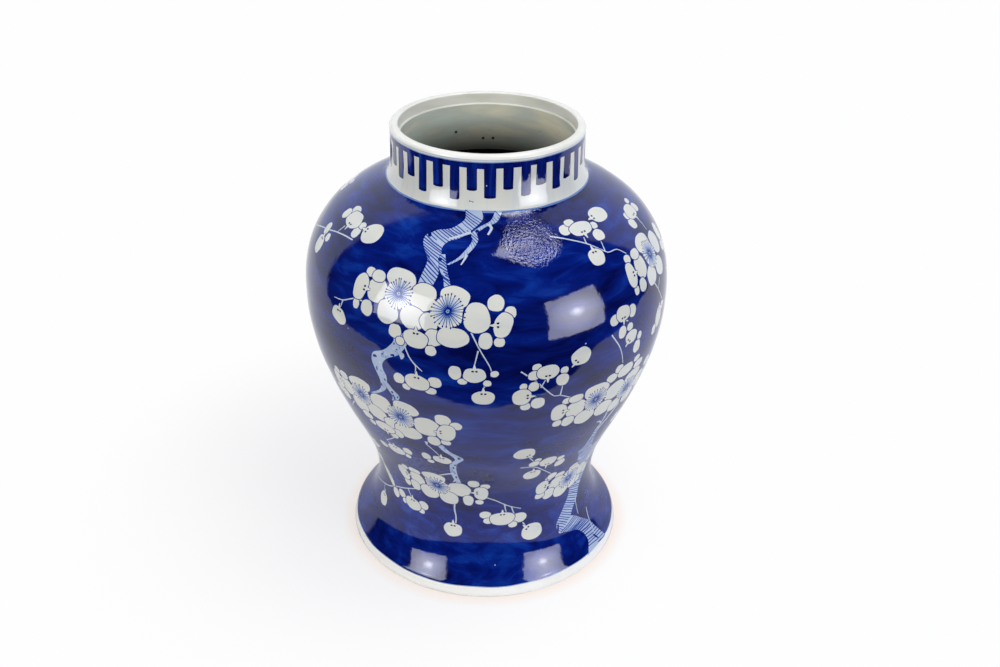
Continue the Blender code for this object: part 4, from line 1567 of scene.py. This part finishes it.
def white_paper():
    """Matt white, shadeless away from the jar for the camera and in mirror images behind it; a painted warm
    shadow rings the foot.
    """
    material, tree, output = new_material("white_paper")
    matt = node(tree, "ShaderNodeBsdfPrincipled", {"Base Color": linear("#f4f4f5"), "Roughness": 0.9})
    place = node(tree, "ShaderNodeTexCoord").outputs["Object"]
    near = node(tree, "ShaderNodeVectorMath", {0: place}, operation="LENGTH").outputs["Value"]
    # Painted shadow: a warm peach ring on the paper, right round the foot.
    near = node(tree, "ShaderNodeMapRange", {
        "Value": near, "From Min": 0.134, "From Max": 0.148}).outputs["Result"]
    shade = node(tree, "ShaderNodeValToRGB", {"Fac": near}, PAPER_WITH_PAINTED_WARM_SHADOW).outputs["Color"]
    white = node(tree, "ShaderNodeEmission", {"Color": shade})
    away = node(tree, "ShaderNodeVectorMath", {0: place, 1: JAR_SHADOW},
                operation="DISTANCE").outputs["Value"]
    burnt = node(tree, "ShaderNodeMapRange", {
        "Value": away, "From Min": 0.08, "From Max": 0.34, "To Min": 0.66},
        interpolation_type="SMOOTHSTEP").outputs["Result"]
    rays = node(tree, "ShaderNodeLightPath").outputs
    share = node(tree, "ShaderNodeMath", {0: burnt, 1: rays["Is Camera Ray"]},
                 operation="MULTIPLY").outputs[0]
    parts = node(tree, "ShaderNodeSeparateXYZ", {0: place}).outputs
    far = node(tree, "ShaderNodeMapRange", {
        "Value": parts["Y"], "From Min": 0.05, "From Max": 0.45}).outputs["Result"]
    share = node(tree, "ShaderNodeMath", {0: far, 1: rays["Is Glossy Ray"], 2: share},
                 operation="MULTIPLY_ADD").outputs[0]
    mix = node(tree, "ShaderNodeMixShader", {0: share, 1: matt.outputs[0], 2: white.outputs[0]})
    tree.links.new(mix.outputs[0], output.inputs["Surface"])
    return material


def flat_stage(name, edge, height, material):
    """A level sheet inside an edge."""
    sheet = add_piece(name, [(x, y, height) for x, y in edge], (), [tuple(range(len(edge)))])
    sheet.data.materials.append(material)
    return sheet


PAPER = white_paper()
flat_stage("table_top", TABLE_EDGE, 0.0, PAPER)
room_floor = flat_stage("room_floor", ROOM_EDGE, -0.002, PAPER)
room_floor.visible_glossy = False
room_floor.visible_diffuse = False


def room_light():
    """White to the camera; the glaze mirrors one pale blue wall behind the jar, and near black around."""
    world = bpy.data.worlds.new("white_room")
    bpy.context.scene.world = world
    world.use_nodes = True
    tree = world.node_tree
    tree.nodes.clear()
    output = node(tree, "ShaderNodeOutputWorld")
    rays = node(tree, "ShaderNodeLightPath").outputs
    way = node(tree, "ShaderNodeTexCoord").outputs["Generated"]
    parts = node(tree, "ShaderNodeSeparateXYZ", {0: way}).outputs
    ahead = node(tree, "ShaderNodeMath", {0: parts["Y"], 1: 0.01}, operation="MAXIMUM").outputs[0]
    across = node(tree, "ShaderNodeMath", {0: parts["X"], 1: ahead}, operation="DIVIDE").outputs[0]
    rise = node(tree, "ShaderNodeMath", {0: parts["Z"], 1: ahead}, operation="DIVIDE").outputs[0]
    rise = node(tree, "ShaderNodeMath", {0: across, 1: -0.4, 2: rise}, operation="MULTIPLY_ADD").outputs[0]
    off = node(tree, "ShaderNodeMath", {0: across, 1: 0.15}, operation="ADD").outputs[0]
    off = node(tree, "ShaderNodeMath", {0: off}, operation="ABSOLUTE").outputs[0]
    wall = node(tree, "ShaderNodeMapRange", {"Value": off, "From Min": 2.5, "From Max": 2.2}).outputs[0]
    below = node(tree, "ShaderNodeMapRange", {"Value": rise, "From Min": 2.3, "From Max": 1.9}).outputs[0]
    behind_jar = node(tree, "ShaderNodeMapRange", {"Value": parts["Y"], "From Max": 0.02}).outputs[0]
    wall = node(tree, "ShaderNodeMath", {0: wall, 1: below}, operation="MULTIPLY").outputs[0]
    wall = node(tree, "ShaderNodeMath", {0: wall, 1: behind_jar}, operation="MULTIPLY").outputs[0]
    wall = node(tree, "ShaderNodeMath", {0: wall, 1: 0.95, 2: 0.03}, operation="MULTIPLY_ADD").outputs[0]
    seen = node(tree, "ShaderNodeBackground", {"Color": linear("#fdfdfe"), "Strength": 1.0})
    glossy = node(tree, "ShaderNodeBackground", {"Color": linear("#ebf1ff"), "Strength": wall})
    lit = node(tree, "ShaderNodeBackground", {"Color": (1, 1, 1, 1), "Strength": 0.26})
    shown = lit
    for ray, light in (("Is Glossy Ray", glossy), ("Is Camera Ray", seen)):
        shown = node(tree, "ShaderNodeMixShader", {0: rays[ray], 1: shown.outputs[0], 2: light.outputs[0]})
    tree.links.new(shown.outputs[0], output.inputs["Surface"])


room_light()

# %% [markdown]
# ## Soft boxes
#
# Each soft box has two lamps: one near the jar that only its mirror image shows, brighter in the
# middle where the bulb is, and one further off that only lights the jar. Splitting them keeps the
# mirror images where the photograph has them while the light itself stays even. The two lamps over
# the jar share their work in the same way, and a bluish lamp on the right only lights.

# %% Soft boxes
def aim(lamp, place, target):
    """Put a lamp at a place and point it at a target."""
    lamp.location = place
    lamp.rotation_euler = (Vector(target) - Vector(place)).to_track_quat("-Z", "Y").to_euler()


def soft_box(name, place, target, size, watts, mirrored, tint="#ffffff"):
    """An area lamp; a mirrored one has a bright middle and lights nothing."""
    data = bpy.data.lights.new(name, "AREA")
    data.shape = "RECTANGLE"
    data.size, data.size_y = size
    data.energy = watts
    data.color = linear(tint)[:3]
    lamp = bpy.data.objects.new(name, data)
    bpy.context.scene.collection.objects.link(lamp)
    aim(lamp, place, target)
    lamp.visible_camera = False
    lamp.visible_diffuse = not mirrored
    lamp.visible_glossy = mirrored
    if mirrored:
        data.use_nodes = True
        tree = data.node_tree
        tree.nodes.clear()
        output = node(tree, "ShaderNodeOutputLight")
        spot = node(tree, "ShaderNodeNewGeometry").outputs["Parametric"]
        away = node(tree, "ShaderNodeVectorMath", {0: spot, 1: (0.5, 0.5, 0.0)},
                    operation="DISTANCE").outputs["Value"]
        bright = node(tree, "ShaderNodeMapRange", {
            "Value": away, "From Max": 0.5, "To Min": 3.0, "To Max": 1.3}).outputs["Result"]
        core = node(tree, "ShaderNodeMapRange", {
            "Value": away, "From Max": 0.16, "To Min": 2.6, "To Max": 0.0},
            interpolation_type="SMOOTHSTEP").outputs["Result"]
        bright = node(tree, "ShaderNodeMath", {0: bright, 1: core}, operation="ADD").outputs[0]
        glow = node(tree, "ShaderNodeEmission", {"Color": linear("#f3f4ff"), "Strength": bright})
        tree.links.new(glow.outputs[0], output.inputs["Surface"])
    return lamp


BOX_SIZE = (0.447, 0.477)
soft_box("right_box_image", (0.568, -0.480, 0.385), (0, 0, 0.385), BOX_SIZE, 2.6, True)
soft_box("left_box_image", (-0.604, -0.540, 0.481), (0, 0, 0.481), BOX_SIZE, 2.6, True)
soft_box("overhead_image", (0.36, -0.12, 1.5), (0, 0, 0.33), (0.5, 0.5), 3.7, True)
soft_box("right_lamp", (1.3, -1.2, 1.1), (0, 0, 0.22), (0.9, 0.9), 15.6, False)
soft_box("left_lamp", (-1.3, -1.2, 1.1), (0, 0, 0.22), (0.9, 0.9), 15.6, False)
soft_box("right_side_lamp", (1.7, 0.2, 0.5), (0, 0, 0.2), (0.8, 0.8), 5.5, False, "#b9cdf5")
soft_box("top_lamp", (0.0, 0.4, 1.9), (0, 0, 0.2), (1.4, 1.4), 13.0, False)

# %% [markdown]
# ## The camera
#
# The photograph looks down at the jar from a little under a metre. The camera's place and tilt
# were fitted to the outline of the jar, the ellipse of its mouth and its foot. Its angles are in
# radians here, as Blender takes them.

# %% The camera
CAMERA_PLACE = (0.0032, -0.9364, 0.7474)
CAMERA_PITCH = 0.52147
CAMERA_YAW = 0.010575
CAMERA_ROLL = 0.01467
LENS = 40.87

camera_data = bpy.data.cameras.new("camera")
camera_data.lens = LENS
camera_data.sensor_width = 36.0
camera_data.clip_start = 0.01
camera = bpy.data.objects.new("camera", camera_data)
bpy.context.scene.collection.objects.link(camera)
camera.matrix_world = (
    Matrix.Translation(CAMERA_PLACE)
    @ Matrix.Rotation(-CAMERA_YAW, 4, "Z")
    @ Matrix.Rotation(math.pi / 2 - CAMERA_PITCH, 4, "X")
    @ Matrix.Rotation(CAMERA_ROLL, 4, "Z")
)
bpy.context.scene.camera = camera
bpy.context.scene.view_settings.view_transform = "Standard"
